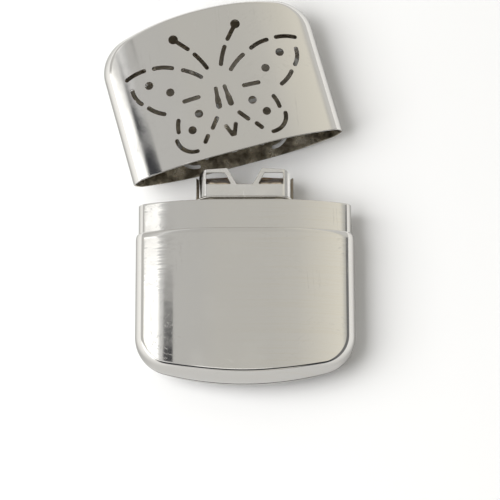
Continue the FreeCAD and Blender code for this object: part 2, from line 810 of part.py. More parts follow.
def slot_face(start, end, bulge, width):
    """A slot with round ends along a chord or an arc, as a face in the plane Z 0."""
    a, b = Vector(*start, 0), Vector(*end, 0)
    along = (b - a).normalize()
    left = Vector(-along.y, along.x, 0)
    half = width / 2
    chord = (b - a).Length
    if abs(bulge) < 1e-6:
        aims = (along, along)
        sides = [
            Part.makeLine(a + left * half, b + left * half),
            Part.makeLine(b - left * half, a - left * half),
        ]
        ends = [left, left]
    else:
        radius = (chord**2 / 4 + bulge**2) / (2 * abs(bulge))
        side = 1 if bulge > 0 else -1
        centre = (a + b) * 0.5 + left * (bulge - side * radius)
        ends = [(a - centre).normalize() * side, (b - centre).normalize() * side]
        aims = [Vector(end_left.y, -end_left.x, 0) for end_left in ends]
        top = centre + left * side * radius
        sides = [
            Part.Arc(a + ends[0] * half, top + left * half, b + ends[1] * half).toShape(),
            Part.Arc(b - ends[1] * half, top - left * half, a - ends[0] * half).toShape(),
        ]
    far = Part.Arc(b + ends[1] * half, b + aims[1] * half, b - ends[1] * half).toShape()
    near = Part.Arc(a - ends[0] * half, a - aims[0] * half, a + ends[0] * half).toShape()
    return Part.Face(Part.Wire([sides[0], far, sides[1], near]))


def dot_face(centre, diameter):
    circle = Part.makeCircle(diameter / 2, Vector(*centre, 0))
    return Part.Face(Part.Wire([circle]))


def laid(point, side):
    """A point of the right wing on the cap as sized now, on its right or left side."""
    across = value("case_width") / LAYOUT_WIDTH
    up = value("cap_length") / LAYOUT_LENGTH
    return side * point[0] * across, -point[1] * up


def make_vent_cutter():
    """Bars through the front of the cap, one for each air hole: a winged insect figure."""
    slot = value("vent_slot")
    faces = []
    for side in (1, -1):
        for start, end, bulge in WING_SLOTS:
            faces.append(slot_face(laid(start, side), laid(end, side), -side * bulge, slot))
        start, end = BODY_SLOT
        faces.append(slot_face(laid(start, side), laid(end, side), 0.0, BODY_SLOT_WIDTH))
        for centre in WING_DOTS:
            faces.append(dot_face(laid(centre, side), value("vent_dot")))
        faces.append(dot_face(laid(ANTENNA_TIP, side), value("antenna_dot")))
    bars = [face.extrude(Vector(0, 0, value("case_depth"))) for face in faces]
    feature = doc.addObject("Part::Feature", "vent_cutter")
    feature.Shape = bars[0].fuse(bars[1:]).removeSplitter()
    return feature


def make_cap_shells():
    outer = half_case("cap_outer", "0", "cap_length", "0")
    core = half_case("cap_core", "wall", "cap_length - wall", "1")
    blank = combine("Part::Cut", "cap_blank", outer, core)
    front = combine("Part::Cut", "cap_front_shell", blank, make_vent_cutter())
    return [place_cap(front), mirrored("cap_back_shell", front, SEAM_Z)]


def check_document():
    doc.recompute()
    for thing in doc.Objects:
        if "Invalid" in thing.State or "Error" in thing.State:
            raise RuntimeError(f"{thing.Label}: {thing.State} {thing.getStatusString()}")


def write_steps(pieces):
    for piece in pieces:
        shape = piece.Shape
        if shape.isNull() or not shape.isValid() or not shape.Solids:
            raise RuntimeError(f"{piece.Label} has no valid solid")
    os.makedirs("parts", exist_ok=True)
    for piece in pieces:
        piece.Shape.exportStep(f"parts/{piece.Label}.step")
        print(f"{piece.Label}: {len(piece.Shape.Solids)} solid(s), {piece.Shape.Volume:.2f} mm3")


pieces = [
    *make_tank_shells(),
    make_neck_collar(),
    make_neck_top_plate(),
    make_filler_mouth(),
    make_mouth_gauze(),
    make_wick_felt(),
    make_cotton_wadding(),
    make_burner_base(),
    make_burner_flange(),
    make_vapour_deck(),
    make_catalyst_mat(),
    *make_guard_plates(),
    make_guard_end_frames(),
    *make_cap_shells(),
]
check_document()
write_steps(pieces)
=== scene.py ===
import math

import bpy
import numpy as np
from mathutils import Matrix, Vector
from mathutils.geometry import delaunay_2d_cdt


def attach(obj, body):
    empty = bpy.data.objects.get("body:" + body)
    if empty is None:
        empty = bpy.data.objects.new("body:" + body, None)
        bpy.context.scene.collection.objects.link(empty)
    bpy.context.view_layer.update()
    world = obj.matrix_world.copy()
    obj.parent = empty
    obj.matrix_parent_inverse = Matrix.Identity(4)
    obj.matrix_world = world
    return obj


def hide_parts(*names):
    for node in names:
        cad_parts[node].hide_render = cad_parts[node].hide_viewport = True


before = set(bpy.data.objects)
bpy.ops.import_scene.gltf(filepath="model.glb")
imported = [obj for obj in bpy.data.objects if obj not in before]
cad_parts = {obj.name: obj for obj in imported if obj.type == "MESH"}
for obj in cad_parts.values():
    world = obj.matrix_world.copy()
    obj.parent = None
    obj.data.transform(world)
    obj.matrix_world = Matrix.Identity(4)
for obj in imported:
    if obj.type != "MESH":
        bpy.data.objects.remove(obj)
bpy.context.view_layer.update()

# Sizes are in millimetres until a piece is made. The case's own frame has its seam plane at
# Z 0 and its open end at Y 0, with the closed end towards -Y.
MM = 0.001
HALF_WIDTH, HALF_DEPTH = 33.5, 7.75
TANK_LENGTH, CAP_LENGTH = 47.6, 50.0
CORNER, ARCH = 12.0, 96.0
CROWN_FLAT, SIDE_DEPTH = 8.0, 2.25  # both from the middle
CROWN_FALL = HALF_DEPTH - SIDE_DEPTH
CROWN_RADIUS = ((HALF_WIDTH - CROWN_FLAT) ** 2 + CROWN_FALL**2) / (2 * CROWN_FALL)
BULGE = 2.7  # how far the wall swells from the face's edge out to the seam
WALL_TURN = math.radians(28)  # the wall's own turn, before the tight bend into the face
WALL, CAP_CLEARANCE, FIT_GAP = 0.5, 0.35, 0.05
NECK_INSET = WALL + CAP_CLEARANCE
LINING_INSET = NECK_INSET + WALL
LAND_INSET, PLATE_INSET = NECK_INSET - FIT_GAP, LINING_INSET + FIT_GAP
SHOULDER_Y, NECK_HEIGHT = TANK_LENGTH / 2, 9.2
NECK_TOP_Y = SHOULDER_Y + NECK_HEIGHT
CAP_RIM = (-1.9, 48.5)
CAP_TURN = 15.2
GROOVE, GROOVE_TURN = 0.2, math.radians(1.2)  # at the seam: its depth, and the turn it takes
HOLE_LIP = 0.05
WELD = 1e-4  # points of a piece that share a cell of this size are one point
WELD_SHIFT = 0.237  # keeps round numbers off the edges of the cells


# ---------------------------------------------------------------- patches and pieces


def unit(vectors):
    """Vectors over their own length."""
    return vectors / np.maximum(np.linalg.norm(vectors, axis=-1, keepdims=True), 1e-12)


def on_tank(points):
    """From the case's frame to where the tank lies."""
    return points + [0, SHOULDER_Y, HALF_DEPTH]


def on_neck(points):
    """From the middle of the neck's top edge, Y up off the neck."""
    return points + [0, NECK_TOP_Y, HALF_DEPTH]


def cap_turn(vectors):
    """Turned about Z so that the cap's closed end points away from the tank."""
    angle = math.radians(180 + CAP_TURN)
    c, s = math.cos(angle), math.sin(angle)
    return vectors @ np.array([[c, s, 0], [-s, c, 0], [0, 0, 1]])


def on_cap(points):
    """From the case's frame to where the cap lies."""
    return cap_turn(points) + [CAP_RIM[0], CAP_RIM[1], HALF_DEPTH]


def stay(vectors):
    """Vectors as they are, for a piece that isn't turned."""
    return vectors


class Patches:
    """The surface patches of one piece. Each has exact normals of its own; where the edges of
    two patches hold the same points, the points are welded and the normals stay apart."""

    def __init__(self, place, turn=stay, flip=(1, 1, 1)):
        self.place, self.turn = place, turn
        self.flip = np.array(flip)
        self.points, self.normals, self.faces, self.slots = [], [], [], []
        self.count = 0

    def add(self, points, normals, faces, slot=0):
        """Loose points, their normals and triangles, which are wound to face their normals."""
        points = self.place(points.reshape(-1, 3) * self.flip)
        normals = self.turn(unit(normals.reshape(-1, 3) * self.flip))
        a, b, c = (points[faces[:, i]] for i in range(3))
        facing = np.einsum("ij,ij->i", np.cross(b - a, c - a), normals[faces].sum(1))
        faces = np.where(facing[:, None] < 0, faces[:, ::-1], faces)
        self.points.append(points)
        self.normals.append(normals)
        self.faces.append(faces + self.count)
        slots = np.broadcast_to(slot, len(faces))
        self.slots.append(slots.astype(np.int32))
        self.count += len(points)

    def grid(self, points, normals, closed=False, slot=0):
        """A (rows, columns, 3) grid, closed where its last row meets its first. Slot may be
        one number for each strip between two rows."""
        rows, columns = points.shape[:2]
        index = np.arange(rows * columns).reshape(rows, columns)
        if closed:
            index = np.vstack([index, index[:1]])
        a, b, c, d = index[:-1, :-1], index[1:, :-1], index[1:, 1:], index[:-1, 1:]
        faces = np.stack([np.stack([a, b, c], -1), np.stack([a, c, d], -1)], 2)
        slots = np.broadcast_to(np.reshape(slot, (-1, 1, 1)), faces.shape[:3]).ravel()
        self.add(points, normals, faces.reshape(-1, 3), slots)

    def piece(self, name, body, finishes, replaces=()):
        """Welds the patches into one mesh with the patches' normals at its corners."""
        points, normals = np.concatenate(self.points), np.concatenate(self.normals)
        faces, slots = np.concatenate(self.faces), np.concatenate(self.slots)
        key = np.round(points / WELD + WELD_SHIFT).astype(np.int64)
        _, first, index = np.unique(key, axis=0, return_index=True, return_inverse=True)
        welded = index.ravel()[faces]
        a, b, c = welded.T
        whole = (a != b) & (b != c) & (c != a)
        corner_normals = normals[faces[whole]].reshape(-1, 3)
        mesh = bpy.data.meshes.new(name)
        mesh.from_pydata(points[first] * MM, [], welded[whole])
        mesh.polygons.foreach_set("material_index", slots[whole])
        mesh.polygons.foreach_set("use_smooth", np.ones(whole.sum(), bool))
        mesh.normals_split_custom_set(corner_normals)
        for finish in finishes:
            mesh.materials.append(finish)
        obj = bpy.data.objects.new(name, mesh)
        bpy.context.scene.collection.objects.link(obj)
        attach(obj, body)
        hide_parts(*replaces)


# ---------------------------------------------------------------- flat outlines


def metal_side(loop, hole):
    """Unit normals of a closed loop in its plane that point into the sheet: from each point's
    two neighbours, turned outwards round a hole and inwards round the sheet's own edge."""
    along = unit(np.roll(loop, -1, 0) - np.roll(loop, 1, 0))
    normal = np.stack([along[:, 1], -along[:, 0]], 1)
    nxt = np.roll(loop, -1, 0)
    area = np.sum(loop[:, 0] * nxt[:, 1] - nxt[:, 0] * loop[:, 1])
    return normal * (np.sign(area) if hole else -np.sign(area))


def oval(width, depth, sides=30):
    """Stadium outline: two straight sides and two half circles, with outward normals."""
    r = depth / 2
    reach = width / 2 - r
    angle = np.linspace(-math.pi / 2, math.pi / 2, 25)
    end = np.stack([np.cos(angle), np.sin(angle)], 1)
    t = np.linspace(0, 1, sides)[1:-1]
    side = np.stack([reach - 2 * reach * t, np.full_like(t, r)], 1)
    up = np.tile([0.0, 1.0], (len(t), 1))
    points = np.vstack([end * r + [reach, 0], side, -end * r - [reach, 0], -side])
    return points, np.vstack([end, up, -end, -up])


def rounded_polygon(corners, radii, step=0.4):
    """Closed outline of straight runs joined by tangent arcs. Each arc's centre lies on its
    corner's bisector; it starts and ends where the two runs touch it."""
    corners = np.asarray(corners, float)
    before = unit(corners - np.roll(corners, 1, 0))
    after = unit(np.roll(corners, -1, 0) - corners)
    n1 = np.stack([before[:, 1], -before[:, 0]], 1)
    n2 = np.stack([after[:, 1], -after[:, 0]], 1)
    bend = np.arctan2(
        before[:, 0] * after[:, 1] - before[:, 1] * after[:, 0], np.sum(before * after, 1)
    )
    signed = np.asarray(radii, float) * np.sign(bend)
    centre = corners - signed[:, None] * (n1 + n2) / (1 + np.sum(n1 * n2, 1))[:, None]
    t = np.linspace(0, 1, 9)[None, :] * bend[:, None]
    c, s = np.cos(t)[..., None], np.sin(t)[..., None]
    side = np.stack([-n1[:, 1], n1[:, 0]], 1)[:, None]
    arcs = centre[:, None] + signed[:, None, None] * (n1[:, None] * c + side * s)
    runs = []
    for i, arc in enumerate(arcs):
        start, end = arc[-1], arcs[(i + 1) % len(arcs)][0]
        t = np.linspace(0, 1, 2 + int(np.linalg.norm(end - start) / step))[1:-1, None]
        runs += [arc, start + (end - start) * t]
    return np.vstack(runs)


def stroke(path, half_width, ends=9):
    """Outline of a stroke along a path, as wide as given at each point: its left side, a half
    circle, its right side back, and the other half circle."""
    along = unit(np.gradient(path, axis=0))
    left = np.stack([-along[:, 1], along[:, 0]], 1)
    half = np.broadcast_to(half_width, len(path))[:, None]
    t = np.linspace(0, math.pi, ends)[1:-1, None]
    far = path[-1] + half[-1] * (left[-1] * np.cos(t) + along[-1] * np.sin(t))
    near = path[0] - half[0] * (left[0] * np.cos(t) + along[0] * np.sin(t))
    return np.vstack([path + left * half, far, (path - left * half)[::-1], near])


def arc_path(start, end, bulge, count=11):
    """Points on the arc over a chord that rises by bulge to the chord's left."""
    start, end = np.array(start, float), np.array(end, float)
    chord = end - start
    length = np.linalg.norm(chord)
    along = chord / length
    left = np.array([-along[1], along[0]])
    t = np.linspace(-1, 1, count)
    if abs(bulge) < 1e-6:
        rise = np.zeros(count)
    else:
        radius = (length**2 / 4 + bulge**2) / (2 * abs(bulge))
        rise = np.sqrt(radius**2 - (t * length / 2) ** 2) - radius + abs(bulge)
        rise *= np.sign(bulge)
    return (start + end) / 2 + t[:, None] * chord / 2 + rise[:, None] * left


def dot(centre, radius, count=28):
    """Points evenly round a circle."""
    angle = np.linspace(0, 2 * math.pi, count, endpoint=False)
    return centre + radius * np.stack([np.cos(angle), np.sin(angle)], 1)


def keyhole(ball, end, radius, half):
    """Outline of a ball with a stroke out of it: an arc of the ball from one side of the
    stroke to the other, and the stroke's two sides and round end."""
    ball, end = np.array(ball), np.array(end)
    along = unit(end - ball)
    left = np.array([-along[1], along[0]])
    open_angle = math.asin(half / radius)
    angle = np.linspace(open_angle, 2 * math.pi - open_angle, 30)[:, None]
    arc = ball + radius * (along * np.cos(angle) + left * np.sin(angle))
    t = np.linspace(0, 1, 9)[1:-1, None]
    tip = np.linspace(-math.pi / 2, math.pi / 2, 9)[:, None]
    cap = end + half * (along * np.cos(tip) + left * np.sin(tip))
    there = arc[-1] + (cap[0] - arc[-1]) * t
    back = cap[-1] + (arc[0] - cap[-1]) * t
    return np.vstack([arc, there, cap, back])


def inside(points, loop):
    """Whether each point is in a closed loop, by counting the edges to its right."""
    x, y = points[:, 0][:, None], points[:, 1][:, None]
    x1, y1 = loop.T
    x2, y2 = np.roll(loop, -1, 0).T
    crosses = (y1 > y) != (y2 > y)
    run = np.where(y2 == y1, 1.0, y2 - y1)
    return (crosses & (x < x1 + (y - y1) * (x2 - x1) / run)).sum(1) % 2 == 1


def fill(edge, holes, step):
    """Triangles over the plane inside a loop and outside the holes, on the loops' own points
    and a grid of staggered rows between them."""
    loops = [edge, *holes]
    low, high = edge.min(0), edge.max(0)
    ys = np.arange(low[1] + step / 2, high[1], step * 0.866)
    xs = np.arange(low[0], high[0], step)
    lattice = np.stack(np.meshgrid(xs, ys), -1)
    lattice[::2, :, 0] += step / 2
    lattice = lattice.reshape(-1, 2)
    lattice = lattice[inside(lattice, edge)]
    border = np.vstack(loops)
    for hole in holes:
        lattice = lattice[~inside(lattice, hole)]
    apart = lattice @ [1, 1j] - (border @ [1, 1j])[:, None]
    lattice = lattice[np.abs(apart).min(0) > 0.45 * step]
    points = np.vstack([border, lattice])
    edges, start = [], 0
    for loop in loops:
        index = np.arange(len(loop)) + start
        edges.append(np.stack([index, np.roll(index, -1)], 1))
        start += len(loop)
    made = delaunay_2d_cdt(
        [Vector(p) for p in points], np.vstack(edges).tolist(), [], 0, 1e-6
    )
    source = np.array([origins[0] for origins in made[3]])
    faces = source[np.array(made[2])]
    middle = points[faces].mean(1)
    keep = inside(middle, edge)
    for hole in holes:
        keep &= ~inside(middle, hole)
    return points, faces[keep]


# ---------------------------------------------------------------- the case's form


def crown(x, inset):
    """Height of the face over the seam: level in the middle, then falling on an arc."""
    beyond = np.maximum(np.abs(x) - CROWN_FLAT, 0)
    radius = CROWN_RADIUS - inset
    return HALF_DEPTH - inset - radius + np.sqrt(radius**2 - beyond**2)


def crown_slope(x, inset):
    """Slope of the face across the case: how far beyond the level middle, over what is left
    of the arc's radius."""
    beyond = np.sign(x) * np.maximum(np.abs(x) - CROWN_FLAT, 0)
    return -beyond / np.sqrt((CROWN_RADIUS - inset) ** 2 - beyond**2)


def case_outline(length, top):
    """The seam's outline in plan from one open end round to the other, with outward normals:
    a straight side, a corner arc, the arch of the closed end, and the same mirrored."""
    across = HALF_WIDTH - CORNER
    arch_y = ARCH - length
    corner_y = arch_y - math.sqrt((ARCH - CORNER) ** 2 - across**2)
    turn = math.atan2(across, arch_y - corner_y)
    side_y = np.linspace(top, corner_y, 36)[:-1]
    side = np.stack([np.full_like(side_y, HALF_WIDTH), side_y], 1)
    angle = np.linspace(0, turn - math.pi / 2, 25)[:-1]
    corner_out = np.stack([np.cos(angle), np.sin(angle)], 1)
    corner = corner_out * CORNER + [across, corner_y]
    angle = np.linspace(turn - math.pi / 2, -math.pi / 2, 25)
    arch_out = np.stack([np.cos(angle), np.sin(angle)], 1)
    arch = arch_out * ARCH + [0, arch_y]
    half = np.vstack([side, corner, arch])
    half_out = np.vstack([np.tile([1.0, 0.0], (len(side), 1)), corner_out, arch_out])
    mirror = np.array([-1, 1])
    return (
        np.vstack([half, half[-2::-1] * mirror]),
        np.vstack([half_out, half_out[-2::-1] * mirror]),
    )


FINE_STEPS = 2  # of the wall's profile, in the seam's groove


def wall_profile():
    """The wall from the seam up to the face, as (depth in from the seam, rise, their steps per
    turn, closeness to the seam): one wide arc that takes the wall's own turn, then a tight arc
    up to level. Their radii follow from the bulge and the height. Rises are parts of the
    whole. The fine steps come first."""
    c, s = math.cos(WALL_TURN), math.sin(WALL_TURN)
    tight = (BULGE - (1 - c) * HALF_DEPTH / s) / (c - (1 - c) * (1 - s) / s)
    wide = (HALF_DEPTH - tight * (1 - s)) / s
    turn = np.concatenate(
        [
            np.linspace(0, GROOVE_TURN, FINE_STEPS + 1),
            np.linspace(GROOVE_TURN, WALL_TURN, 11)[1:-1],
            np.linspace(WALL_TURN, math.pi / 2, 13),
        ]
    )
    radius = np.where(turn < WALL_TURN, wide, tight)
    depth = np.where(
        turn < WALL_TURN,
        wide * (1 - np.cos(turn)),
        wide * (1 - c) + tight * (c - np.cos(turn)),
    )
    rise = np.where(
        turn < WALL_TURN, wide * np.sin(turn), wide * s + tight * (np.sin(turn) - s)
    )
    closing = np.maximum(1 - turn / GROOVE_TURN, 0)
    steps = radius * np.sin(turn), radius * np.cos(turn) / HALF_DEPTH
    return np.stack([depth, rise / HALF_DEPTH, *steps, closing])


def plain_profile():
    """The wall's profile without the fine steps at the seam."""
    return np.delete(wall_profile(), range(1, FINE_STEPS + 1), 1)


def wall(outline, inset, profile, groove=0.0):
    """The bulged wall: the profile from the seam, where it stands upright, to the edge of the
    face, where it joins the crown. A groove narrows it at the seam."""
    plan, out = outline
    depth, rise, going, climbing, closing = profile
    part = 1 - inset / BULGE
    place = plan[:, None] - out[:, None] * (inset + part * depth + groove * closing**2)[:, None]
    high = crown(place[..., 0], inset)
    slope = crown_slope(place[..., 0], inset)
    points = np.concatenate([place, (high * rise)[..., None]], -1)
    going = part * going - 2 * groove * closing / GROOVE_TURN
    tangent = np.stack([-out[:, 1], out[:, 0]], 1)[:, None]
    along = np.concatenate(
        [tangent + 0 * place, (slope * tangent[..., 0] * rise)[..., None]], -1
    )
    inward = -out[:, None] * going[:, None]
    climb = slope * inward[..., 0] * rise + high * climbing
    up = np.concatenate([inward, climb[..., None]], -1)
    normals = unit(np.cross(along, up))
    aim = np.sum(normals[..., :2] * out[:, None], -1) + normals[..., 2]
    return points, normals * np.sign(aim)[..., None]


def face_points(plan, inset):
    """Plan points raised to the crown, with its normals."""
    x = plan[..., 0]
    points = np.concatenate([plan, crown(x, inset)[..., None]], -1)
    return points, unit(np.stack([-crown_slope(x, inset), 0 * x, 1 + 0 * x], -1))


def top_edge():
    """Positions across the face's straight edge at the open end, from right to left."""
    reach = HALF_WIDTH - BULGE
    return np.linspace(reach, -reach, 61)


def section(inset, profile, groove=0.0):
    """The half case's cross-section at one inset, from the right seam over the crown to the
    left one: wall, face and wall."""
    side = (np.array([[HALF_WIDTH, 0.0]]), np.array([[1.0, 0.0]]))
    right, right_out = (a[0] for a in wall(side, inset, profile, groove))
    x = top_edge()[1:-1]
    face, face_out = face_points(np.stack([x, 0 * x], 1), inset)
    mirror = np.array([-1, 1, 1])
    return (
        np.vstack([right, face, right[::-1] * mirror]),
        np.vstack([right_out, face_out, right_out[::-1] * mirror]),
    )


def hem(patches, line, profile, slot=0, groove=0.0):
    """The section carried along a line of (way along the case, inset) points, as where it
    turns over the open end. Normals lie square to the line. Gives the line's run on
    the seam plane, as (half width, way) points."""
    line = np.asarray(line, float)
    way = np.gradient(line, axis=0)
    aim = unit(way[:, ::-1])
    rows, normals = [], []
    for (y, inset), (ahead, outward) in zip(line, aim):
        points, out = section(inset, profile, groove * min(max(1.2 * outward - 0.2, 0), 1))
        rows.append(points + [0, y, 0])
        normals.append(out * outward + np.array([0, ahead, 0]))
    rows = np.array(rows)
    patches.grid(rows, np.array(normals), slot=slot)
    return rows[:, 0, :2]


def bend(centre, radii, start, end, count=9):
    """Points round an elliptic bend between two angles; angle 0 points out of the open end
    and 90 degrees out of the case."""
    t = np.radians(np.linspace(start, end, count))
    return np.stack(
        [centre[0] + radii[0] * np.cos(t), centre[1] - radii[1] * np.sin(t)], 1
    )


def edge_rows(thickness, lip, count=4):
    """A sheet's edge as rows of (spread into the sheet, depth, rise of the normal): a quarter
    round, the cut, and a quarter round out to the far face."""
    t = np.radians(np.linspace(0, 90, count))
    back = t[::-1]
    spread = np.concatenate([lip * (1 - np.sin(t)), lip * (1 - np.sin(back))])
    depth = np.concatenate([lip * (1 - np.cos(t)), thickness - lip * (1 - np.cos(back))])
    return spread, depth, np.concatenate([np.cos(t), -np.cos(back)])


def cut_edge(patches, loop, side, rows, lay, slot):
    """The edge round one loop of a laid sheet. Side points into the sheet."""
    around = np.append(np.arange(len(loop)), 0)
    loop, side = loop[around], side[around]
    points, normals = [], []
    for spread, depth, rise in zip(*rows):
        plan = loop + side * spread
        place, out = lay(plan, depth)
        into = unit(lay(plan + side * 1e-3, depth)[0] - place)
        points.append(place)
        normals.append(out * rise - into * math.sqrt(max(0, 1 - rise**2)))
    patches.grid(np.array(points), np.array(normals), slot=slot)


def stamped(patches, edge, holes, thickness, lip, lay, step, slots=(0, 0, 0), ends=True):
    """A stamped sheet: its outline and holes filled on both faces, laid by a function of plan
    and depth, and the cut edges, with the outline's own where the sheet ends there. Slots are
    for the near face, the far face and the edges."""
    rows = edge_rows(thickness, lip)
    cuts = [(edge, metal_side(edge, False))] if ends else []
    cuts += [(hole, metal_side(hole, True)) for hole in holes]
    wide = [loop + side * lip for loop, side in cuts]
    if not ends:
        wide.insert(0, edge)
    plan, faces = fill(wide[0], wide[1:], step)
    for depth, way, slot in ((0.0, 1, slots[0]), (thickness, -1, slots[1])):
        points, normals = lay(plan, depth)
        patches.add(points, normals * way, faces, slot)
    for loop, side in cuts:
        cut_edge(patches, loop, side, rows, lay, slots[2])


def half_shell(patches, length, top, hems, holes):
    """Half of a drawn sheet case: the wall and the face with its holes, each on the outer and
    the inner surface, the hems over the open end, the holes' edges and the seam's edge.
    Slot 0 is the outside, 1 the inside, 2 the seam and 3 the holes' edges."""
    outline = case_outline(length, top)
    profile = wall_profile()
    outer_slots = np.where(np.arange(profile.shape[1] - 1) < FINE_STEPS, 2, 0)
    for inset, way, groove, slot in ((0.0, 1, GROOVE, outer_slots), (WALL, -1, 0.0, 1)):
        points, normals = wall(outline, inset, profile, groove)
        patches.grid(points.transpose(1, 0, 2), normals.transpose(1, 0, 2) * way, slot=slot)
    edge = outline[0] - outline[1] * BULGE
    x = top_edge()[::-1][1:-1]
    edge = np.vstack([edge, np.stack([x, np.full_like(x, top)], 1)])
    stamped(patches, edge, holes, WALL, HOLE_LIP, face_points, 1.1, (0, 1, 3), ends=False)
    lines = [hem(patches, line, profile, slot, GROOVE) for line, slot in hems]
    seam_edge(patches, outline, np.vstack(lines))


def seam_edge(patches, outline, line):
    """The flat edge on the seam plane between the outer and inner surface, and the area that
    the hems' profile encloses at each end of it."""
    plan, out = outline
    rows = np.stack([plan - out * GROOVE, plan - out * WALL])
    points = np.concatenate([rows, np.zeros(rows.shape[:2] + (1,))], -1)
    patches.grid(points, np.broadcast_to([0.0, 0.0, -1.0], points.shape), slot=2)
    fresh = np.linalg.norm(line - np.roll(line, 1, 0), axis=1) > 1e-6
    points, faces = fill(line[fresh], (), 0.3)
    for sign in (1, -1):
        level = np.stack([sign * points[:, 0], points[:, 1], 0 * points[:, 0]], 1)
        patches.add(level, np.tile([0.0, 0.0, -1.0], (len(level), 1)), faces, 2)


# ---------------------------------------------------------------- tank


TANK_TOP = -2.6
LAND = 1.6


def tank_hems():
    """Over the shoulder in a long soft round down to the collar, back along the land, and up
    to the inner surface."""
    shoulder = np.vstack(
        [[(TANK_TOP, 0.0)], bend((-2.0, LAND_INSET), (2.0, LAND_INSET), 90, 0, 13)]
    )
    return [
        (shoulder, 0),
        ([(0.0, LAND_INSET), (-LAND, LAND_INSET)], 1),
        ([(-LAND, LAND_INSET), (-LAND, WALL)], 1),
        ([(-LAND, WALL), (TANK_TOP, WALL)], 1),
    ]


def make_tank(finishes):
    """Two half shells that mirror each other in the seam plane."""
    for name, up in (("tank_front_shell", 1), ("tank_back_shell", -1)):
        shell = Patches(on_tank, flip=(1, 1, up))
        half_shell(shell, TANK_LENGTH, TANK_TOP, tank_hems(), [])
        shell.piece(name + "_formed", "tank", finishes, [name])


def make_collar(finish):
    """Band of sheet all round, its top edge rounded over."""
    collar = Patches(on_tank)
    profile = plain_profile()
    lip = (LINING_INSET - NECK_INSET) / 2
    turn = bend((NECK_HEIGHT - lip, NECK_INSET + lip), (lip, lip), 90, -90, 11)
    foot, straight = -3.0, 8.5
    up_outside = [(foot, NECK_INSET), (straight, NECK_INSET)]
    down_inside = [(straight, LINING_INSET), (foot, LINING_INSET)]
    line = np.vstack([up_outside, turn, down_inside])
    for up in (1, -1):
        collar.flip = np.array([1, 1, up])
        hem(collar, line, profile)
        hem(collar, [(foot, LINING_INSET), (foot, NECK_INSET)], profile)
    collar.piece("neck_collar_rolled", "tank", [finish], ["neck_collar"])


def level_lay(top):
    """Lays a sheet level across the neck, its near face at this height."""

    def lay(plan, depth):
        points = np.stack([plan[:, 0], np.full(len(plan), top - depth), plan[:, 1]], 1)
        return points, np.tile([0.0, 1.0, 0.0], (len(plan), 1))

    return lay


def make_top_plate(finish):
    """Plate across the neck with an oval hole a fit gap wider than the mouth."""
    sheet, recess, hole = 0.5, 0.3, oval(23.9, 7.1)[0]
    upper = section(PLATE_INSET, plain_profile()[:, ::2])[0][:, [0, 2]]
    edge = np.vstack([upper, upper[-2:0:-1] * [1, -1]])
    plate = Patches(on_neck)
    stamped(plate, edge, [hole], sheet, 0.05, level_lay(-recess), 1.6)
    plate.piece("neck_plate", "tank", [finish], ["neck_top_plate"])


def closed_oval(width, depth):
    """An oval's points and outward normals, each with its first again at the end."""
    return [np.vstack([a, a[:1]]) for a in oval(width, depth)]


def oval_ring(name, body, finish, base, corners, radii, replaces):
    """A closed profile of (growth, height) corners, rounded, carried round an oval."""
    ring = Patches(on_neck)
    loop, out = closed_oval(*base)
    profile = rounded_polygon(corners, radii, 0.6)
    away = -metal_side(profile, False)
    plan = loop + out * profile[:, 0][:, None, None]
    high = np.broadcast_to(profile[:, 1][:, None, None], plan.shape[:2] + (1,))
    points = np.concatenate([plan[..., :1], high, plan[..., 1:]], -1)
    side = out * away[:, 0][:, None, None]
    up = np.broadcast_to(away[:, 1][:, None, None], side.shape[:2] + (1,))
    normals = np.concatenate([side[..., :1], up, side[..., 1:]], -1)
    ring.grid(points, normals, closed=True)
    ring.piece(name, body, [finish], replaces)


def make_mouth(finish):
    """Oval tube with a rolled lip and the brazing flange under the plate."""
    sheet, foot, lip = 0.4, -2.6, 2.2
    flange, under, over = 1.6, -1.2, -0.8
    corners = [
        (-sheet, foot), (0, foot), (0, under), (flange, under),
        (flange, over), (0, over), (0, lip), (-sheet, lip),
    ]
    radii = [0.1] * 5 + [0.05, 0.19, 0.19]
    oval_ring(
        "mouth_tube", "tank", finish, (23.8, 7.0), corners, radii, ["filler_mouth"]
    )


WIRE_RADIUS, WIRE_PITCH, WIRE_BOB, GAUZE_HEIGHT = 0.085, 0.56, 0.06, 1.55


def wires(along, across, count, chord, bob):
    """Wires side by side, drawn four-sided with a round wire's normals. Each weaves over and
    under those that cross it: a cosine of half the pitch, turned over from one wire to the
    next, and cut to the chord there."""
    pitch = WIRE_PITCH
    place = (np.arange(count) - (count - 1) / 2) * pitch
    reach = chord(place)
    t = np.arange(-1, 1, 0.25 * pitch / reach.max()) * reach.max()
    run = np.clip(t[None, :], -reach[:, None], reach[:, None])
    wave = bob * np.cos(math.pi * run / pitch) * np.where(np.arange(count) % 2, 1, -1)[:, None]
    spin = np.radians(45 + 90 * np.arange(5))
    round_x, round_y = WIRE_RADIUS * np.cos(spin), WIRE_RADIUS * np.sin(spin)
    points = np.zeros(run.shape + (5, 3))
    points[..., along] = run[..., None]
    points[..., across] = place[:, None, None] + round_x
    points[..., 1] = GAUZE_HEIGHT + wave[..., None] + round_y
    normals = np.zeros_like(points)
    normals[..., across] = round_x
    normals[..., 1] = round_y
    return points, normals


def make_gauze(finish):
    """Square weave of fine wire cut to the mouth's bore: straight sides and round ends."""
    gauze = Patches(on_neck)
    half, r = 11.35, 2.95

    def depth(beyond):
        return np.sqrt(np.maximum(r**2 - beyond**2, 0.01))

    def long_reach(z):
        return half - r + depth(z)

    def short_reach(x):
        return depth(np.maximum(np.abs(x) - half + r, 0))

    for along, across, count, chord, over in ((0, 2, 10, long_reach, 1), (2, 0, 40, short_reach, -1)):
        points, normals = wires(along, across, count, chord, WIRE_BOB * over)
        for strand, out in zip(points, normals):
            gauze.grid(strand, out)
    gauze.piece("wick_gauze", "tank", [finish], ["mouth_gauze"])


# ---------------------------------------------------------------- burner


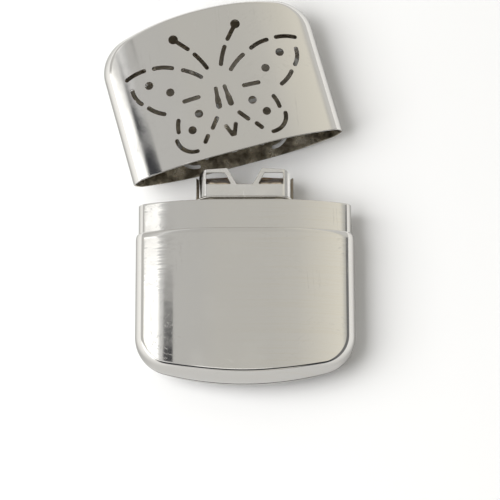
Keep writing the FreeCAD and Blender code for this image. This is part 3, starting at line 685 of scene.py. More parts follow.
GUARD_X, GUARD_Z, GUARD_ROUND, GUARD_SHEET = 14.1, 4.7, 3.0, 0.4
GUARD_FOOT, GUARD_SILL, GUARD_TIP = 1.64, 5.57, 10.8
STRIP_HALF = 1.6


def guard_wrap(plan, depth):
    """Wraps the flat pattern round the guard's plan: straight across the front and a quarter
    circle at each end. The pattern's first number is the way round from the middle."""
    way, y = plan.T
    flat = GUARD_X - GUARD_ROUND
    turn = np.clip((np.abs(way) - flat) / GUARD_ROUND, 0, math.pi / 2)
    r = GUARD_ROUND - depth
    sign = np.sign(way)
    x = sign * (np.minimum(np.abs(way), flat) + r * np.sin(turn))
    z = GUARD_Z - GUARD_ROUND + r * np.cos(turn)
    normals = np.stack([sign * np.sin(turn), 0 * y, np.cos(turn)], 1)
    return np.stack([x, y, z], 1), normals


def unwrapped(outline):
    """Front-view points as points of the flat pattern."""
    flat = GUARD_X - GUARD_ROUND
    x, y = outline.T
    beyond = np.clip((np.abs(x) - flat) / GUARD_ROUND, 0, 1)
    way = np.sign(x) * (np.minimum(np.abs(x), flat) + GUARD_ROUND * np.arcsin(beyond))
    return np.stack([way, y], 1)


def guard_pattern():
    """The M with its V notch and sloping ears, and a window in each ear."""
    ear_end, notch_top, notch_floor = 10.2, 5.3, 2.5
    side, top = 11.9, 9.24
    right = [
        (GUARD_X, GUARD_FOOT), (GUARD_X, ear_end), (notch_top, GUARD_TIP), (notch_floor, GUARD_SILL),
    ]
    left = [(-x, y) for x, y in right[::-1]]
    radii = [0.15, 2.4, 0.55, 0.5]
    edge = rounded_polygon(right + left, radii + radii[::-1], 0.35)
    window = rounded_polygon(
        [(4.15, GUARD_SILL), (side, GUARD_SILL), (side, top), (6.1, top)],
        [0.3, 0.35, 0.45, 0.4],
        0.35,
    )
    return unwrapped(edge), [unwrapped(window), unwrapped(window[::-1] * [-1, 1])]


def make_guard(finishes):
    """Front and back plate of the same pattern, wrapped from either side."""
    edge, windows = guard_pattern()
    for name, up in (("guard_front", 1), ("guard_back", -1)):
        plate = Patches(on_neck, flip=(1, 1, up))
        stamped(plate, edge, windows, GUARD_SHEET, 0.09, guard_wrap, 0.5, (0, 2, 1))
        plate.piece(name + "_stamped", "burner", finishes, [name])


def make_end_frames(finish):
    """Bowed strips that close the guard's ends: a shallow parabola in plan."""
    half, top, sheet, gap, bow = STRIP_HALF, 8.75, 0.12, 0.1, 0.8

    def lay(plan, depth):
        z, y = plan.T
        x = GUARD_X + gap + bow * (1 - (z / half) ** 2) - depth
        out = np.stack([np.full_like(z, 1.0), 0 * z, 2 * bow * z / half**2], 1)
        return np.stack([x, y, z], 1), unit(out)

    corners = [(-half, GUARD_FOOT), (half, GUARD_FOOT), (half, top), (-half, top)]
    edge = rounded_polygon(corners, [0.2, 0.2, 1.3, 1.3], 0.4)
    strips = Patches(on_neck)
    for side in (1, -1):
        strips.flip = np.array([side, 1, 1])
        stamped(strips, edge, [], sheet, 0.05, lay, 0.8)
    strips.piece("end_strips", "burner", [finish], ["guard_end_frames"])


def make_flange(finish):
    """Bead round the foot of the guard, a half round in section, with a web in to the skirt.
    A row is its points in plan, its height, and how far its normal leans out and up."""
    ring = Patches(on_neck)
    outer, out = closed_oval(30.0, 11.2)
    inner = closed_oval(25.1, 8.3)[0]
    r, middle = 0.4, 1.24
    low, high = middle - r, middle + r
    web_edge = outer - out * r
    t = np.radians(np.linspace(90, -90, 11))
    bead = [
        (outer - out * r * (1 - c), middle + r * s, c, s) for c, s in zip(np.cos(t), np.sin(t))
    ]
    web = [
        [(web_edge, high, 0, 1), (inner, high, 0, 1)],
        [(inner, high, -1, 0), (inner, low, -1, 0)],
        [(inner, low, 0, -1), (web_edge, low, 0, -1)],
    ]
    for rows in [bead, *web]:
        points = [np.insert(plan, 1, y, axis=1) for plan, y, _, _ in rows]
        normals = [np.insert(out * away, 1, up, axis=1) for _, _, away, up in rows]
        ring.grid(np.array(points), np.array(normals))
    ring.piece("bead_flange", "burner", [finish], ["burner_flange"])


def make_skirt(finish):
    """Oval skirt that pushes over the mouth."""
    sheet, height = 0.4, 2.9
    corners = [(0, 0), (sheet, 0), (sheet, height), (0, height)]
    oval_ring(
        "skirt", "burner", finish, (24.2, 7.4), corners, [0.15] * 4, ["burner_base"]
    )


def ripple(x, z, seed):
    """Sum of sines in turned directions, between about -1 and 1."""
    waves = 14
    rng = np.random.default_rng(seed)
    angle, phase = rng.uniform(0, 6.28, (2, waves))
    pace = rng.uniform(0.6, 3.2, waves)
    along_x = np.multiply.outer(x, pace * np.cos(angle))
    along_z = np.multiply.outer(z, pace * np.sin(angle))
    return np.sin(along_x + along_z + phase).sum(-1) / 5


def mat_half_depth(x):
    """Half the wool's depth: level along the middle, then falling on a circle at each end."""
    side, radius, level = 1.25, 2.6, 10.7
    beyond = np.maximum(np.abs(x) - level, 0)
    return side + np.sqrt(np.maximum(radius**2 - beyond**2, 0.02))


def mat_top(x, z):
    """Top of the wool: a low bed with a lobe behind each window, both lumpy. A lobe is the
    product of two logistic steps, up at its inner side and down at its outer one."""
    bed, rise, lumps = 5.8, 1.75, 0.25
    inner, outer = 4.3, 12
    away = np.abs(x)
    lobe = 1 / (1 + np.exp(-(away - inner) * 2.2)) * (1 / (1 + np.exp((away - outer) * 3)))
    return bed + rise * lobe + lumps * ripple(x, z, 5)


def soft_block(name, body, finish, place, loop, half, order, replaces):
    """A soft body that fills a closed outline: drawn in from the outline to its middle, it
    rises on a high power curve to a half height given over the plan, and lumps by a sum of
    sines. Order says which of (plan, plan, rise) are X, Y and Z."""
    loop = np.vstack([loop, loop[:1]])
    middle = (loop.max(0) + loop.min(0)) / 2
    t = np.linspace(-1, 1, 57)
    draw = 1 - t**2
    rise = np.sign(t) * (1 - draw**8) ** 0.4
    plan = middle + (loop - middle) * draw[:, None, None]
    lumps = 0.97 - 0.025 * ripple(plan[..., 0], plan[..., 1] + 9 * rise[:, None], 7)
    high = rise[:, None] * half(plan[..., 0]) * lumps
    points = np.concatenate([plan, high[..., None]], -1)
    normals = np.cross(np.gradient(points, axis=0), np.gradient(points, axis=1))
    normals[[0, -1]] = np.array([[[0, 0, -1.0]], [[0, 0, 1.0]]])
    aim = np.sum(normals * (points - [*middle, 0]), -1)
    normals *= np.where(aim < 0, -1, 1)[..., None]
    block = Patches(place)
    block.grid(points[..., order], normals[..., order])
    block.piece(name, body, [finish], replaces)


def make_wick(finish):
    """Felt block in the mouth's bore."""
    low, high = -3.95, 1.3
    loop = oval(22.8, 6.0)[0]
    soft_block(
        "felt_wick", "tank", finish, lambda p: on_neck(p + [0, (low + high) / 2, 0]),
        loop, lambda x: (high - low) / 2 + 0 * x, [0, 2, 1], ["wick_felt"],
    )


def make_wadding(finish):
    """Cotton that fills the case and the foot of the neck."""
    top, side_gap, face_gap = 4.8, 1.75, 0.85
    plan, out = case_outline(TANK_LENGTH, top)
    soft_block(
        "cotton_wad", "tank", finish, on_tank, plan - out * side_gap,
        lambda x: crown(x, face_gap), [0, 1, 2], ["cotton_wadding"],
    )


def make_mat(finish):
    """Bed of glass wool: its lumpy top falls to the floor round the edge on a steep round."""
    u = np.sin(np.linspace(-1, 1, 121) * math.pi / 2)
    v = np.sin(np.linspace(-1, 1, 41) * math.pi / 2)
    u, v = np.meshgrid(u, v, indexing="ij")
    half_width, floor = 13.2, 3.25
    x = half_width * u
    z = mat_half_depth(x) * v
    edge = ((1 - np.abs(u) ** 10) * (1 - np.abs(v) ** 6)).clip(0) ** 0.35
    y = floor + (mat_top(x, z) - floor) * edge
    top = np.stack([x, y, z], -1)
    du, dv = np.gradient(top, axis=0), np.gradient(top, axis=1)
    normals = unit(np.cross(dv, du))
    wool = Patches(on_neck)
    wool.grid(top, normals)
    base = top.copy()
    base[..., 1] = floor
    wool.grid(base, np.broadcast_to([0.0, -1.0, 0.0], base.shape))
    wool.piece("wool_mat", "burner", [finish], ["catalyst_mat"])


def make_fibres(finish):
    """Loose fibres off the wool: each a thin three-sided tube along a parabola that rises
    from the top and leans over."""
    rng = np.random.default_rng(11)
    count, steps = 2600, 7
    reach, share, sunk = 12.9, 0.97, 0.15
    x = rng.uniform(-reach, reach, count)
    z = rng.uniform(-share, share, count) * mat_half_depth(x)
    root = np.stack([x, mat_top(x, z) - sunk, z], 1)
    heading = rng.uniform(0, 2 * math.pi, count)
    lean = np.stack([np.cos(heading), np.zeros(count), np.sin(heading)], 1)
    length = rng.uniform(0.5, 2.0, count)[:, None, None]
    rise = rng.uniform(0.1, 0.55, count)[:, None, None]
    t = np.linspace(0, 1, steps)[None, :, None]
    bow = rng.normal(0, 0.25, (count, 1, 1))
    side = np.cross(lean, [0, 1, 0])[:, None]
    line = root[:, None] + lean[:, None] * t * length + side * bow * t**2
    line = line + np.array([0, 1, 0]) * rise * length * (t * (1.45 - t))
    farthest = 13.3
    half = mat_half_depth(line[..., 0])
    line[..., 0] = line[..., 0].clip(-farthest, farthest)
    line[..., 2] = np.clip(line[..., 2], -half, half)
    spin = np.radians([0, 120, 240, 360])
    across = side * np.cos(spin)[:, None] + np.array([0, 1, 0]) * np.sin(spin)[:, None]
    thin = 0.035 * (1 - 0.6 * t)
    points = line[:, :, None] + across[:, None] * thin[..., None]
    normals = np.broadcast_to(across[:, None], points.shape)
    rows = np.arange(steps - 1)[:, None]
    index = np.arange(count * steps * 4).reshape(count, steps, 4)
    a, b = index[:, :-1, :-1], index[:, 1:, :-1]
    c, d = index[:, 1:, 1:], index[:, :-1, 1:]
    faces = np.stack([np.stack([a, b, c], -1), np.stack([a, c, d], -1)], 3).reshape(-1, 3)
    fuzz = Patches(on_neck)
    fuzz.add(points, normals, faces)
    fuzz.piece("wool_fibres", "burner", [finish])


# ---------------------------------------------------------------- cap


CAP_TOP = -0.6
SLOT, DOT, ANTENNA_DOT = 0.65, 1.275, 1.475  # half widths
# Air slots right of the middle: start, end, and how far each bows to the left of its way. Points
# are (across from the middle, up from the rim).
RIGHT_SLOTS = [
    ((4.8, 33.9), (2.25, 28.65), -0.15),
    ((4.8, 26.2), (9.6, 29.85), 0.25),
    ((12.7, 31.45), (18.1, 33.0), 0.3),
    ((21.2, 33.3), (27.0, 32.3), 0.3),
    ((26.3, 28.4), (24.6, 23.3), 0.5),
    ((22.85, 21.15), (18.8, 17.75), 0.3),
    ((7.3, 20.0), (11.85, 19.8), 0.0),
    ((15.2, 14.3), (16.1, 10.7), 0.15),
    ((17.3, 8.1), (12.1, 3.1), 1.5),
    ((3.6, 11.8), (5.65, 9.1), 0.0),
    ((7.8, 6.95), (9.0, 5.3), 0.0),
]
RIGHT_DOTS = [(20.95, 28.15), (15.25, 23.95), (8.55, 14.7), (11.85, 10.05)]


def air_holes():
    """Outlines of the air holes, in the cap's frame: strokes, dots, ball-ended antennae, two
    tapered body slots and a V-shaped tail, as a winged insect."""
    right = [stroke(arc_path(*slot), SLOT) for slot in RIGHT_SLOTS]
    right += [dot(centre, DOT) for centre in RIGHT_DOTS]
    right.append(keyhole((9.95, 40.4), (6.4, 36.2), ANTENNA_DOT, SLOT))
    t = np.linspace(0, 1, 15)
    body = np.stack([1.4 + 0.5 * t, 21.3 - 5.8 * t], 1)
    swell = np.clip((t - 0.35) / 0.35, 0, 1)
    right.append(stroke(body, 0.6 + 0.3 * swell**2 * (3 - 2 * swell)))
    leg = [(0.8, 4.8), (2.32, 8.84), (1.14, 9.28)]
    corners = [*leg, (0.0, 6.3), *((-x, y) for x, y in leg[::-1])]
    tail = rounded_polygon(corners, [0.5, 0.6, 0.6, 0.25, 0.6, 0.6, 0.5], 0.5)
    mirrored = [hole[::-1] * [-1, 1] for hole in right]
    return [hole * [1, -1] for hole in [*right, *mirrored, tail]]


def make_cap(finishes):
    """Two half shells with the same holes; the rim of the sheet is a full round, polished over
    its first steps."""
    lip, polished = WALL / 2, 9
    rim = bend((-lip, lip), (lip, lip), 90, -90, 13)
    profile = np.vstack([[(CAP_TOP, 0.0)], rim, [(CAP_TOP, WALL)]])
    slots = np.where(np.arange(len(profile) - 1) < polished, 0, 1)
    holes = air_holes()
    for name, up in (("cap_front_shell", 1), ("cap_back_shell", -1)):
        shell = Patches(on_cap, cap_turn, (1, 1, up))
        half_shell(shell, CAP_LENGTH, CAP_TOP, [(profile, slots)], holes)
        shell.piece(name + "_pierced", "cap", finishes, [name])


# ---------------------------------------------------------------- node trees


class Net:
    """Builds a node tree. An input that is a socket is linked and anything else is set."""

    def __init__(self, tree):
        self.tree = tree

    def node(self, kind, inputs=(), out=0, **settings):
        """The output of a new node with these inputs and settings."""
        made = self.tree.nodes.new("ShaderNode" + kind)
        for name, value in settings.items():
            setattr(made, name, value)
        for name, value in dict(inputs).items():
            if isinstance(value, bpy.types.NodeSocket):
                self.tree.links.new(value, made.inputs[name])
            elif value is not None:
                made.inputs[name].default_value = value
        return made.outputs[out]

    def math(self, operation, a, b=None, c=None):
        return self.node("Math", {0: a, 1: b, 2: c}, operation=operation)

    def vector(self, operation, a, b=None, scale=None):
        inputs = {0: a, 1: b, "Scale": scale}
        out = "Value" if operation in ("LENGTH", "DOT_PRODUCT") else 0
        return self.node("VectorMath", inputs, out, operation=operation)

    def split(self, vector):
        made = self.node("SeparateXYZ", {0: vector}).node
        return [made.outputs[i] for i in range(3)]

    def join(self, x, y, z):
        return self.node("CombineXYZ", {0: x, 1: y, 2: z})

    def fade(self, value, low, high, to_low=0.0, to_high=1.0):
        """A smooth step from to_low at low to to_high at high."""
        inputs = {0: value, 1: low, 2: high, 3: to_low, 4: to_high}
        return self.node("MapRange", inputs, interpolation_type="SMOOTHSTEP")

    def band(self, value, edges):
        """1 between the two middle edges and 0 beyond the outer two."""
        rise = self.fade(value, edges[0], edges[1])
        return self.math("MULTIPLY", rise, self.fade(value, edges[2], edges[3], 1.0, 0.0))

    def mix(self, factor, a, b):
        a, b = ((*v, 1.0) if isinstance(v, tuple) else v for v in (a, b))
        return self.node(
            "Mix", {"Factor": factor, 6: a, 7: b}, 2, data_type="RGBA", clamp_factor=True
        )

    def ramp(self, value, stops):
        """A colour that changes evenly from each (place, colour) stop to the next."""
        made = self.node("ValToRGB", {0: value}).node
        elements = made.color_ramp.elements
        while len(elements) < len(stops):
            elements.new(0.5)
        for element, (place, colour) in zip(elements, stops):
            element.position = place
            element.color = (*colour, 1)
        return made.outputs[0]

    def noise(self, vector, scale, detail=2.0, roughness=0.5, stretch=None):
        if stretch:
            vector = self.vector("MULTIPLY", vector, stretch)
        inputs = {"Vector": vector, "Scale": scale, "Detail": detail, "Roughness": roughness}
        return self.node("TexNoise", inputs)

    def bump(self, height, distance, strength=1.0, normal=None):
        inputs = {"Height": height, "Distance": distance, "Strength": strength, "Normal": normal}
        return self.node("Bump", inputs)

    def millimetres(self):
        """Object coordinates in millimetres."""
        place = self.node("TexCoord", out="Object")
        return self.vector("SCALE", place, scale=1000.0)


def group(name, inputs, outputs, build):
    """A node group of one effect. Build takes the net and its inputs, and gives the outputs."""
    tree = bpy.data.node_groups.new(name, "ShaderNodeTree")
    for title, kind, value in inputs:
        socket = tree.interface.new_socket(title, in_out="INPUT", socket_type=kind)
        if value is not None:
            socket.default_value = value
    for title, kind in outputs:
        tree.interface.new_socket(title, in_out="OUTPUT", socket_type=kind)
    start = tree.nodes.new("NodeGroupInput")
    end = tree.nodes.new("NodeGroupOutput")
    made = build(Net(tree), *start.outputs[: len(inputs)])
    for socket, value in zip(end.inputs, made):
        tree.links.new(value, socket)
    return tree


def use(net, effect, *inputs):
    """A group's outputs, for the given inputs."""
    made = net.tree.nodes.new("ShaderNodeGroup")
    made.node_tree = effect
    for socket, value in zip(made.inputs, inputs):
        if isinstance(value, bpy.types.NodeSocket):
            net.tree.links.new(value, socket)
        else:
            socket.default_value = value
    return list(made.outputs)


def new_finish(name, **constants):
    """A material with these constants on its shader, and its net and shader."""
    material = bpy.data.materials.new(name)
    material.use_nodes = True
    shader = material.node_tree.nodes["Principled BSDF"]
    for title, value in constants.items():
        shader.inputs[title.replace("_", " ")].default_value = value
    return material, Net(material.node_tree), shader


def drive(net, shader, **sockets):
    """Links each socket to the shader's input of the same name."""
    for title, socket in sockets.items():
        net.tree.links.new(socket, shader.inputs[title.replace("_", " ")])


# ---------------------------------------------------------------- effects

VECTOR, FLOAT, COLOUR = "NodeSocketVector", "NodeSocketFloat", "NodeSocketColor"


def handling(net, place):
    """Marks of use on plated metal: a mask of thin scratches that run every way, and one of
    soft smears, from 0 to 1."""
    lines = []
    for turn, scale in ((0.4, 0.5), (1.5, 0.35), (2.5, 0.6)):
        turned = net.node(
            "VectorRotate", {"Vector": place, "Axis": (0, 0, 1), "Angle": turn}
        )
        streak = net.noise(turned, scale, 3, 0.6, (0.05, 3.0, 3.0))
        patch = net.fade(net.noise(turned, 0.08), 0.5, 0.7)
        lines.append(net.math("MULTIPLY", net.band(streak, (0.6, 0.615, 0.62, 0.635)), patch))
    scratches = net.math("MAXIMUM", net.math("MAXIMUM", lines[0], lines[1]), lines[2])
    smear = net.fade(net.noise(place, 0.09, 4, 0.6), 0.42, 0.72)
    return scratches, smear


def buffed_rows(net, place, mask):
    """Rows left by the polishing wheel across the case: each tilts the metal a little by its
    own amount, sideways and lengthways, where the mask is above 0."""
    rows = net.noise(place, 1.0, 4, 0.7, (0.06, 2.9, 0.02))
    tilt = net.math("MULTIPLY", net.math("SUBTRACT", rows, 0.5), mask)
    normal = net.node("NewGeometry", out="Normal")
    leaning = net.join(tilt, net.math("MULTIPLY", tilt, 0.06), 0.0)
    return (net.vector("NORMALIZE", net.vector("ADD", normal, leaning)),)


def heat_tint(net, place, amount, colour):
    """Straw, brown and blue films that heat leaves on steel, in soft clouds."""
    cloud = net.noise(place, 0.35, 3, 0.55)
    level = net.math("MULTIPLY", cloud, amount)
    film = net.ramp(
        level,
        [
            (0.0, (1.0, 1.0, 1.0)),
            (0.25, (0.95, 0.86, 0.66)),
            (0.45, (0.68, 0.5, 0.36)),
            (0.62, (0.36, 0.36, 0.46)),
            (1.0, (0.3, 0.3, 0.3)),
        ],
    )
    inputs = {"Factor": 1.0, 6: colour, 7: film}
    return (net.node("Mix", inputs, 2, data_type="RGBA", blend_type="MULTIPLY"),)


def tangle(net, place):
    """Fibres that run every way: the brightest of three stretched noises in turned
    directions, from 0 to 1."""
    layers = []
    for axis, angle in (((0, 0, 1), 0.5), ((0, 1, 0), 1.9), ((1, 1, 0), 2.6)):
        turned = net.node("VectorRotate", {"Vector": place, "Axis": axis, "Angle": angle})
        layers.append(net.fade(net.noise(turned, 3.2, 2, 0.5, (0.12, 1.6, 1.6)), 0.45, 0.75))
    return (net.math("MAXIMUM", net.math("MAXIMUM", layers[0], layers[1]), layers[2]),)


def wall_painted_shade(net, colour):
    """Painted shade on the bulged wall: its colour is darker where the metal turns towards
    the seam, and darker still at the sides, so that the wall's reflections read dimmer."""
    x, _, z = net.split(net.vector("ABSOLUTE", net.node("TexCoord", out="Normal")))
    part = net.fade(z, 0.48, 0.7, net.fade(x, 0.5, 0.95, 0.62, 0.42), 1.0)
    return (net.vector("SCALE", colour, scale=part),)


HANDLING = group(
    "handling", [("Place", VECTOR, None)], [("Scratches", FLOAT), ("Smears", FLOAT)], handling
)
ROWS = group(
    "buffed rows",
    [("Place", VECTOR, None), ("Mask", FLOAT, 0.0)],
    [("Normal", VECTOR)],
    buffed_rows,
)
HEAT = group(
    "heat tint",
    [("Place", VECTOR, None), ("Amount", FLOAT, 0.5), ("Colour", COLOUR, (1, 1, 1, 1))],
    [("Colour", COLOUR)],
    heat_tint,
)
# Painted shade for the bulged walls of the case.
WALL_SHADE = group(
    "wall painted shade", [("Colour", COLOUR, (1, 1, 1, 1))], [("Colour", COLOUR)], wall_painted_shade
)
TANGLE = group("tangled fibres", [("Place", VECTOR, None)], [("Fibres", FLOAT)], tangle)


# ---------------------------------------------------------------- finishes

CHROME = (0.82, 0.805, 0.775)


def worn_plating(net, colour, scratches, smears):
    """Colour and roughness of worn plating: duller and rougher in its scratches, and a little
    rougher where it is smeared."""
    roughness = net.math("MULTIPLY_ADD", smears, 0.05, 0.055)
    return (
        net.mix(net.math("MULTIPLY", scratches, 0.35), colour, (0.6, 0.58, 0.55)),
        net.math("MULTIPLY_ADD", scratches, 0.2, roughness),
    )


def tank_chrome():
    """Polished plating with rows from the buffing wheel under the shoulder and at the neck's
    edge, a few yellow stains towards the right, scratches and smears."""
    material, net, shader = new_finish("tank_chrome", Metallic=1.0)
    place = net.millimetres()
    x, y, _ = net.split(place)
    scratches, smears = use(net, HANDLING, place)
    shoulder = net.band(y, (-2.0, 17.0, 23.3, 24.2))
    neck = net.band(y, (26.0, 30.0, 33.2, 34.0))
    left = net.fade(x, -18.0, 12.0, 0.13, 0.02)
    mask = net.math("MULTIPLY_ADD", net.math("MAXIMUM", shoulder, neck), left, 0.003)
    rows = use(net, ROWS, place, mask)[0]
    hairs = net.noise(place, 1.0, 3, 0.7, (0.03, 2.2, 0.03))
    strength = net.fade(x, -10.0, 15.0, 0.04, 0.2)
    stain = net.math("MULTIPLY", net.band(hairs, (0.52, 0.58, 0.62, 0.7)), strength)
    stained = net.mix(stain, CHROME, (0.8, 0.74, 0.62))
    colour, roughness = worn_plating(net, stained, scratches, smears)
    height = net.math("ADD", net.noise(place, 0.12, 2), net.math("MULTIPLY", scratches, -0.1))
    drive(
        net,
        shader,
        # Painted shade darkens the wall's colour.
        Base_Color=use(net, WALL_SHADE, colour)[0],
        Roughness=roughness,
        Normal=net.bump(height, 0.00001, 1.0, rows),
    )
    return material


def cap_chrome():
    """Polished plating with scratches and smears, pitted like orange peel round the left
    corner of the rim."""
    material, net, shader = new_finish("cap_chrome", Metallic=1.0)
    place = net.millimetres()
    scratches, smears = use(net, HANDLING, place)
    corner = net.vector("LENGTH", net.vector("SUBTRACT", place, (-33.0, 45.0, 12.0)))
    pitted = net.fade(corner, 10.0, 26.0, 1.0, 0.0)
    pits = net.noise(place, 2.2, 2, 0.6)
    colour, roughness = worn_plating(net, CHROME, scratches, smears)
    height = net.math("MULTIPLY", pits, net.math("MULTIPLY_ADD", pitted, 0.3, 0.01))
    height = net.math("ADD", height, net.noise(place, 0.1, 2))
    drive(
        net,
        shader,
        # Painted shade darkens the wall's colour.
        Base_Color=use(net, WALL_SHADE, colour)[0],
        Roughness=roughness,
        Normal=net.bump(height, 0.00001),
    )
    return material


def inside_metal():
    """Unpolished inner face of the case: brown-grey, mottled with soft lighter patches, and
    paled more and more towards the cap's closed end by painted light."""
    material, net, shader = new_finish("inside_metal", Metallic=1.0)
    place = net.millimetres()
    mottle = net.noise(place, 0.28, 4, 0.55)
    turn = math.radians(CAP_TURN)
    from_rim = net.vector("SUBTRACT", place, (*CAP_RIM, 0.0))
    deep = net.vector("DOT_PRODUCT", from_rim, (-math.sin(turn), math.cos(turn), 0.0))
    colour = net.ramp(
        mottle,
        [
            (0.37, (0.2, 0.17, 0.125)),
            (0.48, (0.4, 0.355, 0.28)),
            (0.58, (0.7, 0.64, 0.52)),
            (0.68, (0.88, 0.82, 0.7)),
        ],
    )
    # Painted light: the colour pales deeper into the cap.
    colour = net.mix(net.fade(deep, 6.0, 34.0), colour, (0.86, 0.81, 0.73))
    roughness = net.fade(mottle, 0.35, 0.7, 0.42, 0.24)
    height = net.noise(place, 0.5, 3, 0.6)
    drive(net, shader, Base_Color=colour, Roughness=roughness, Normal=net.bump(height, 0.0003))
    return material


def seam_painted_shade():
    """Painted shade in the seam, near black and browner in places, for the gap's shadow."""
    material, net, shader = new_finish("seam_painted_shade", Roughness=0.6)
    mottle = net.noise(net.millimetres(), 0.6, 3)
    # Near-black painted shade, browner in places.
    colour = net.mix(mottle, (0.012, 0.011, 0.01), (0.06, 0.05, 0.04))
    drive(net, shader, Base_Color=colour)
    return material


def cut_metal(name, colour, worn):
    """Bare cut edge of sheet, with fine cross lines from the punch."""
    material, net, shader = new_finish(name, Metallic=1.0)
    place = net.millimetres()
    lines = net.noise(place, 4.0, 2, 0.5, (1.0, 1.0, 0.15))
    drive(
        net,
        shader,
        Base_Color=net.mix(lines, colour, worn),
        Roughness=net.fade(lines, 0.3, 0.7, 0.18, 0.36),
    )
    return material


def satin_steel(name, colour, roughness, heat):
    """Brushed steel sheet with fine level grain, smears, and heat films of a given amount."""
    material, net, shader = new_finish(name, Metallic=1.0)
    place = net.millimetres()
    grain = net.noise(place, 1.0, 4, 0.7, (0.25, 7.0, 7.0))
    scratches, smears = use(net, HANDLING, place)
    tinted = use(net, HEAT, place, heat, (*colour, 1.0))[0]
    shade = net.math("MULTIPLY", grain, 0.25)
    rough = net.math("MULTIPLY_ADD", smears, 0.12, roughness)
    drive(
        net,
        shader,
        Base_Color=net.mix(shade, tinted, tuple(0.8 * c for c in colour)),
        Roughness=net.math("MULTIPLY_ADD", scratches, 0.15, rough),
        Normal=net.bump(grain, 0.00001),
    )
    return material


def gauze_wire():
    """Brass wire, straw to brown where the burner has warmed it."""
    material, net, shader = new_finish("gauze_wire", Metallic=1.0)
    place = net.millimetres()
    tint = use(net, HEAT, place, 0.75, (0.72, 0.6, 0.36, 1.0))[0]
    roughness = net.fade(net.noise(place, 1.5), 0.3, 0.7, 0.25, 0.45)
    drive(net, shader, Base_Color=tint, Roughness=roughness)
    return material


def fibrous(name, dark, light, patches, top_darkening=0.0):
    """Loose fibre: a tangle over soft patches of the patch colour, darker towards the top:
    brown-black by a given share over the heights behind the guard's windows."""
    material, net, shader = new_finish(name, Roughness=0.92, Sheen_Weight=0.25, Sheen_Roughness=0.5)
    place = net.millimetres()
    fibres = use(net, TANGLE, place)[0]
    ground = net.mix(net.fade(net.noise(place, 0.42, 3, 0.6), 0.45, 0.66), dark, patches)
    colour = net.mix(fibres, ground, light)
    if top_darkening:
        height = net.math("ADD", net.split(place)[1], net.noise(place, 0.6, 2))
        # Darker towards the top, brown-black over these heights.
        dark_top = net.fade(height, NECK_TOP_Y + 6.4, NECK_TOP_Y + 7.1, 0.0, top_darkening)
        colour = net.mix(dark_top, colour, (0.045, 0.033, 0.024))
    drive(net, shader, Base_Color=colour, Normal=net.bump(fibres, 0.0001, 0.7))
    return material


tank_finishes = [tank_chrome(), inside_metal(), seam_painted_shade()]
hole_edge = cut_metal("hole_edges", (0.74, 0.72, 0.69), (0.5, 0.47, 0.43))
tank_finishes.append(hole_edge)
cap_finishes = [cap_chrome(), *tank_finishes[1:]]
plate_steel = satin_steel("mouth_steel", (0.6, 0.58, 0.55), 0.26, 0.2)
burner_steel = satin_steel("bead_steel", (0.78, 0.77, 0.75), 0.14, 0.08)
guard_steel = satin_steel("guard_steel", (0.88, 0.875, 0.865), 0.16, 0.06)
guard_edge = cut_metal("guard_edges", (0.78, 0.76, 0.73), (0.5, 0.46, 0.41))
guard_inside = satin_steel("guard_inside", (0.24, 0.2, 0.16), 0.3, 0.9)
strip_steel = satin_steel("darkened_steel", (0.22, 0.2, 0.18), 0.32, 0.5)
deck_steel = satin_steel("deck_steel", (0.3, 0.28, 0.26), 0.4, 0.7)
wool = fibrous("glass_wool", (0.2, 0.14, 0.08), (0.86, 0.78, 0.63), (0.62, 0.47, 0.3), 0.95)
loose = fibrous("loose_fibres", (0.55, 0.45, 0.32), (0.92, 0.86, 0.74), (0.75, 0.66, 0.5), 0.8)
felt = fibrous("felt", (0.5, 0.46, 0.4), (0.8, 0.77, 0.7), (0.66, 0.62, 0.54))
cotton = fibrous("cotton", (0.78, 0.76, 0.72), (0.94, 0.93, 0.9), (0.86, 0.84, 0.79))

make_tank(tank_finishes)
make_collar(tank_finishes[0])
make_top_plate(plate_steel)
make_mouth(plate_steel)
make_gauze(gauze_wire())
make_guard([guard_steel, guard_edge, guard_inside])
make_end_frames(strip_steel)
make_flange(burner_steel)
make_skirt(burner_steel)
make_mat(wool)
make_fibres(loose)
make_cap(cap_finishes)
make_wick(felt)
make_wadding(cotton)
bpy.data.objects["vapour_deck"].data.materials[0] = deck_steel


# ---------------------------------------------------------------- camera, lights and floor


def make_camera():
    """At the distance and angle of the view, rolled a little about its own axis."""
    elevation, azimuth, roll, away, focal = 72.4, -1.45, -1.66, 1000.0, 3262.0
    picture, sensor = 500, 36
    e, a, r = map(math.radians, (elevation, azimuth, roll))
    ahead = Vector((math.sin(a) * math.cos(e), math.cos(a) * math.cos(e), -math.sin(e)))
    right = Vector((math.cos(a), -math.sin(a), 0))
    up = right.cross(ahead)
    right, up = right * math.cos(r) + up * math.sin(r), up * math.cos(r) - right * math.sin(r)
    target = Vector((1.55, SHOULDER_Y - 5.05, HALF_DEPTH))
    lens = bpy.data.cameras.new("camera")
    lens.sensor_width = sensor
    lens.lens = focal / picture * sensor
    lens.clip_start, lens.clip_end = 0.01, 20
    camera = bpy.data.objects.new("camera", lens)
    turned = Matrix((right, up, -ahead)).transposed().to_4x4()
    camera.matrix_world = Matrix.Translation((target - ahead * away) * MM) @ turned
    bpy.context.scene.collection.objects.link(camera)
    bpy.context.scene.camera = camera


def make_floor():
    """A wide pale sheet."""
    mesh = bpy.data.meshes.new("floor")
    r = 3.0
    mesh.from_pydata([(-r, -r, 0), (r, -r, 0), (r, r, 0), (-r, r, 0)], [], [(0, 1, 2, 3)])
    floor = bpy.data.objects.new("floor", mesh)
    floor.location.z = -0.00002
    bpy.context.scene.collection.objects.link(floor)
    material, net, shader = new_finish("floor", Roughness=0.9, Specular_IOR_Level=0.1)
    grain = net.noise(net.millimetres(), 0.02, 2)
    drive(net, shader, Base_Color=net.mix(grain, (0.93, 0.93, 0.925), (0.94, 0.94, 0.94)))
    mesh.materials.append(material)


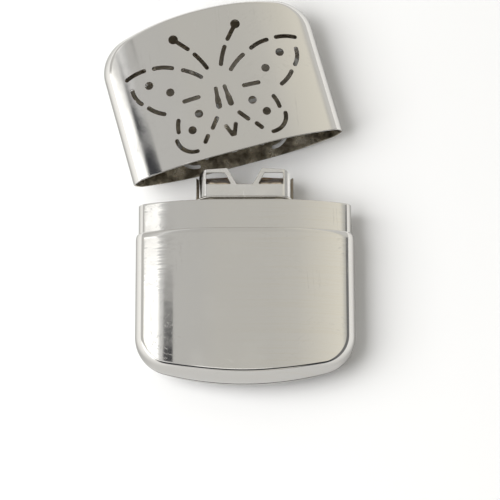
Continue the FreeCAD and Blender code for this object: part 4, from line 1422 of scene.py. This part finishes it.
# The room's brightness and warmth by the angle, in degrees, from left over the top to right.
ROOM = [
    (-90, 0.62, 0.0),
    (-62, 0.56, 0.03),
    (-47, 0.6, 0.03),
    (-36.5, 0.82, 0.0),
    (-34, 0.64, 0.0),
    (-32, 0.545, 0.02),
    (-12, 0.535, 0.03),
    (0, 0.55, 0.05),
    (15, 0.585, 0.06),
    (30, 0.7, 0.09),
    (42, 0.8, 0.1),
    (44, 0.55, 0.05),
    (47, 0.18, 0.0),
    (80, 0.18, 0.0),
    (86, 0.7, 0.0),
    (90, 0.62, 0.0),
]
# Lamps, and pale and dark cards: colour, the four edges of the angle that each spans, and the
# four of the aim's part towards +Y.
LAMP, PALE, DARK = (1.5, 1.5, 1.48), (0.62, 0.615, 0.6), (0.035, 0.036, 0.042)
PANELS = [
    (LAMP, (-46.5, -45.5, -37.0, -35.6), (0.255, 0.262, 0.3005, 0.3035)),
    (LAMP, (-46.5, -45.5, -37.0, -35.6), (0.3075, 0.3085, 0.318, 0.335)),
    (LAMP, (-48.0, -47.0, -40.8, -37.0), (0.10, 0.12, 0.180, 0.190)),
    (LAMP, (-100.0, -90.0, -48.0, -44.0), (-0.5, -0.4, 0.15, 0.2)),
    (LAMP, (-18.0, -15.0, -1.0, 2.0), (0.02, 0.06, 0.2, 0.24)),
    (PALE, (-179.0, -170.0, -47.0, -45.0), (0.3165, 0.3175, 0.42, 0.44)),
    (PALE, (43.0, 45.0, 170.0, 179.0), (0.3165, 0.3175, 1.1, 1.2)),
    (DARK, (-34.2, -32.4, -27.9, -27.4), (0.25, 0.258, 0.281, 0.291)),
    (DARK, (-39.8, -37.6, -31.2, -30.4), (0.14, 0.155, 0.192, 0.21)),
    (DARK, (-70.0, -60.0, 60.0, 70.0), (-0.8, -0.7, -0.25, -0.15)),
]


def make_world():
    """A soft room round the object: brightness by the angle over the object, a little dimmer
    beyond its far end, with lamps, pale and dark cards, and a dark spot at the viewer."""
    world = bpy.data.worlds.new("room")
    bpy.context.scene.world = world
    world.use_nodes = True
    net = Net(world.node_tree)
    aim = net.node("TexCoord", out="Generated")
    x, y, z = net.split(aim)
    angle = net.math("DEGREES", net.math("ARCTAN2", x, z))
    stops = [
        ((a + 90) / 180, (v, v * (1 - 0.35 * warm), v * (1 - warm * 1.4))) for a, v, warm in ROOM
    ]
    colour = net.ramp(net.math("MULTIPLY_ADD", angle, 1 / 180, 0.5), stops)
    behind = net.fade(y, 0.44, 0.5, 1.0, 0.95)
    colour = net.vector("SCALE", colour, scale=behind)
    for panel_colour, across, along in PANELS:
        panel = net.math("MULTIPLY", net.band(angle, across), net.band(y, along))
        colour = net.mix(panel, colour, panel_colour)
    viewer = (0.0, -0.302, 0.953)
    away = net.vector("LENGTH", net.vector("SUBTRACT", aim, viewer))
    colour = net.mix(net.fade(away, 0.06, 0.22, 0.93, 0.0), colour, DARK)
    background = world.node_tree.nodes["Background"]
    world.node_tree.links.new(colour, background.inputs["Color"])
    background.inputs["Strength"].default_value = 1.0


def make_lamp():
    """A wide soft lamp over the left that fills without a reflection of its own."""
    lamp = bpy.data.lights.new("fill", "AREA")
    lamp.shape, lamp.size, lamp.energy = "SQUARE", 1.2, 20.0
    holder = bpy.data.objects.new("fill", lamp)
    away, aim = 1.3, math.radians(44)
    holder.location = (-away * math.sin(aim), -0.2, away * math.cos(aim))
    holder.rotation_euler = (0, -aim, 0)
    holder.visible_glossy = False
    bpy.context.scene.collection.objects.link(holder)


make_camera()
make_floor()
make_world()
make_lamp()
bpy.context.scene.view_settings.view_transform = "Standard"

bpy.context.view_layer.update()
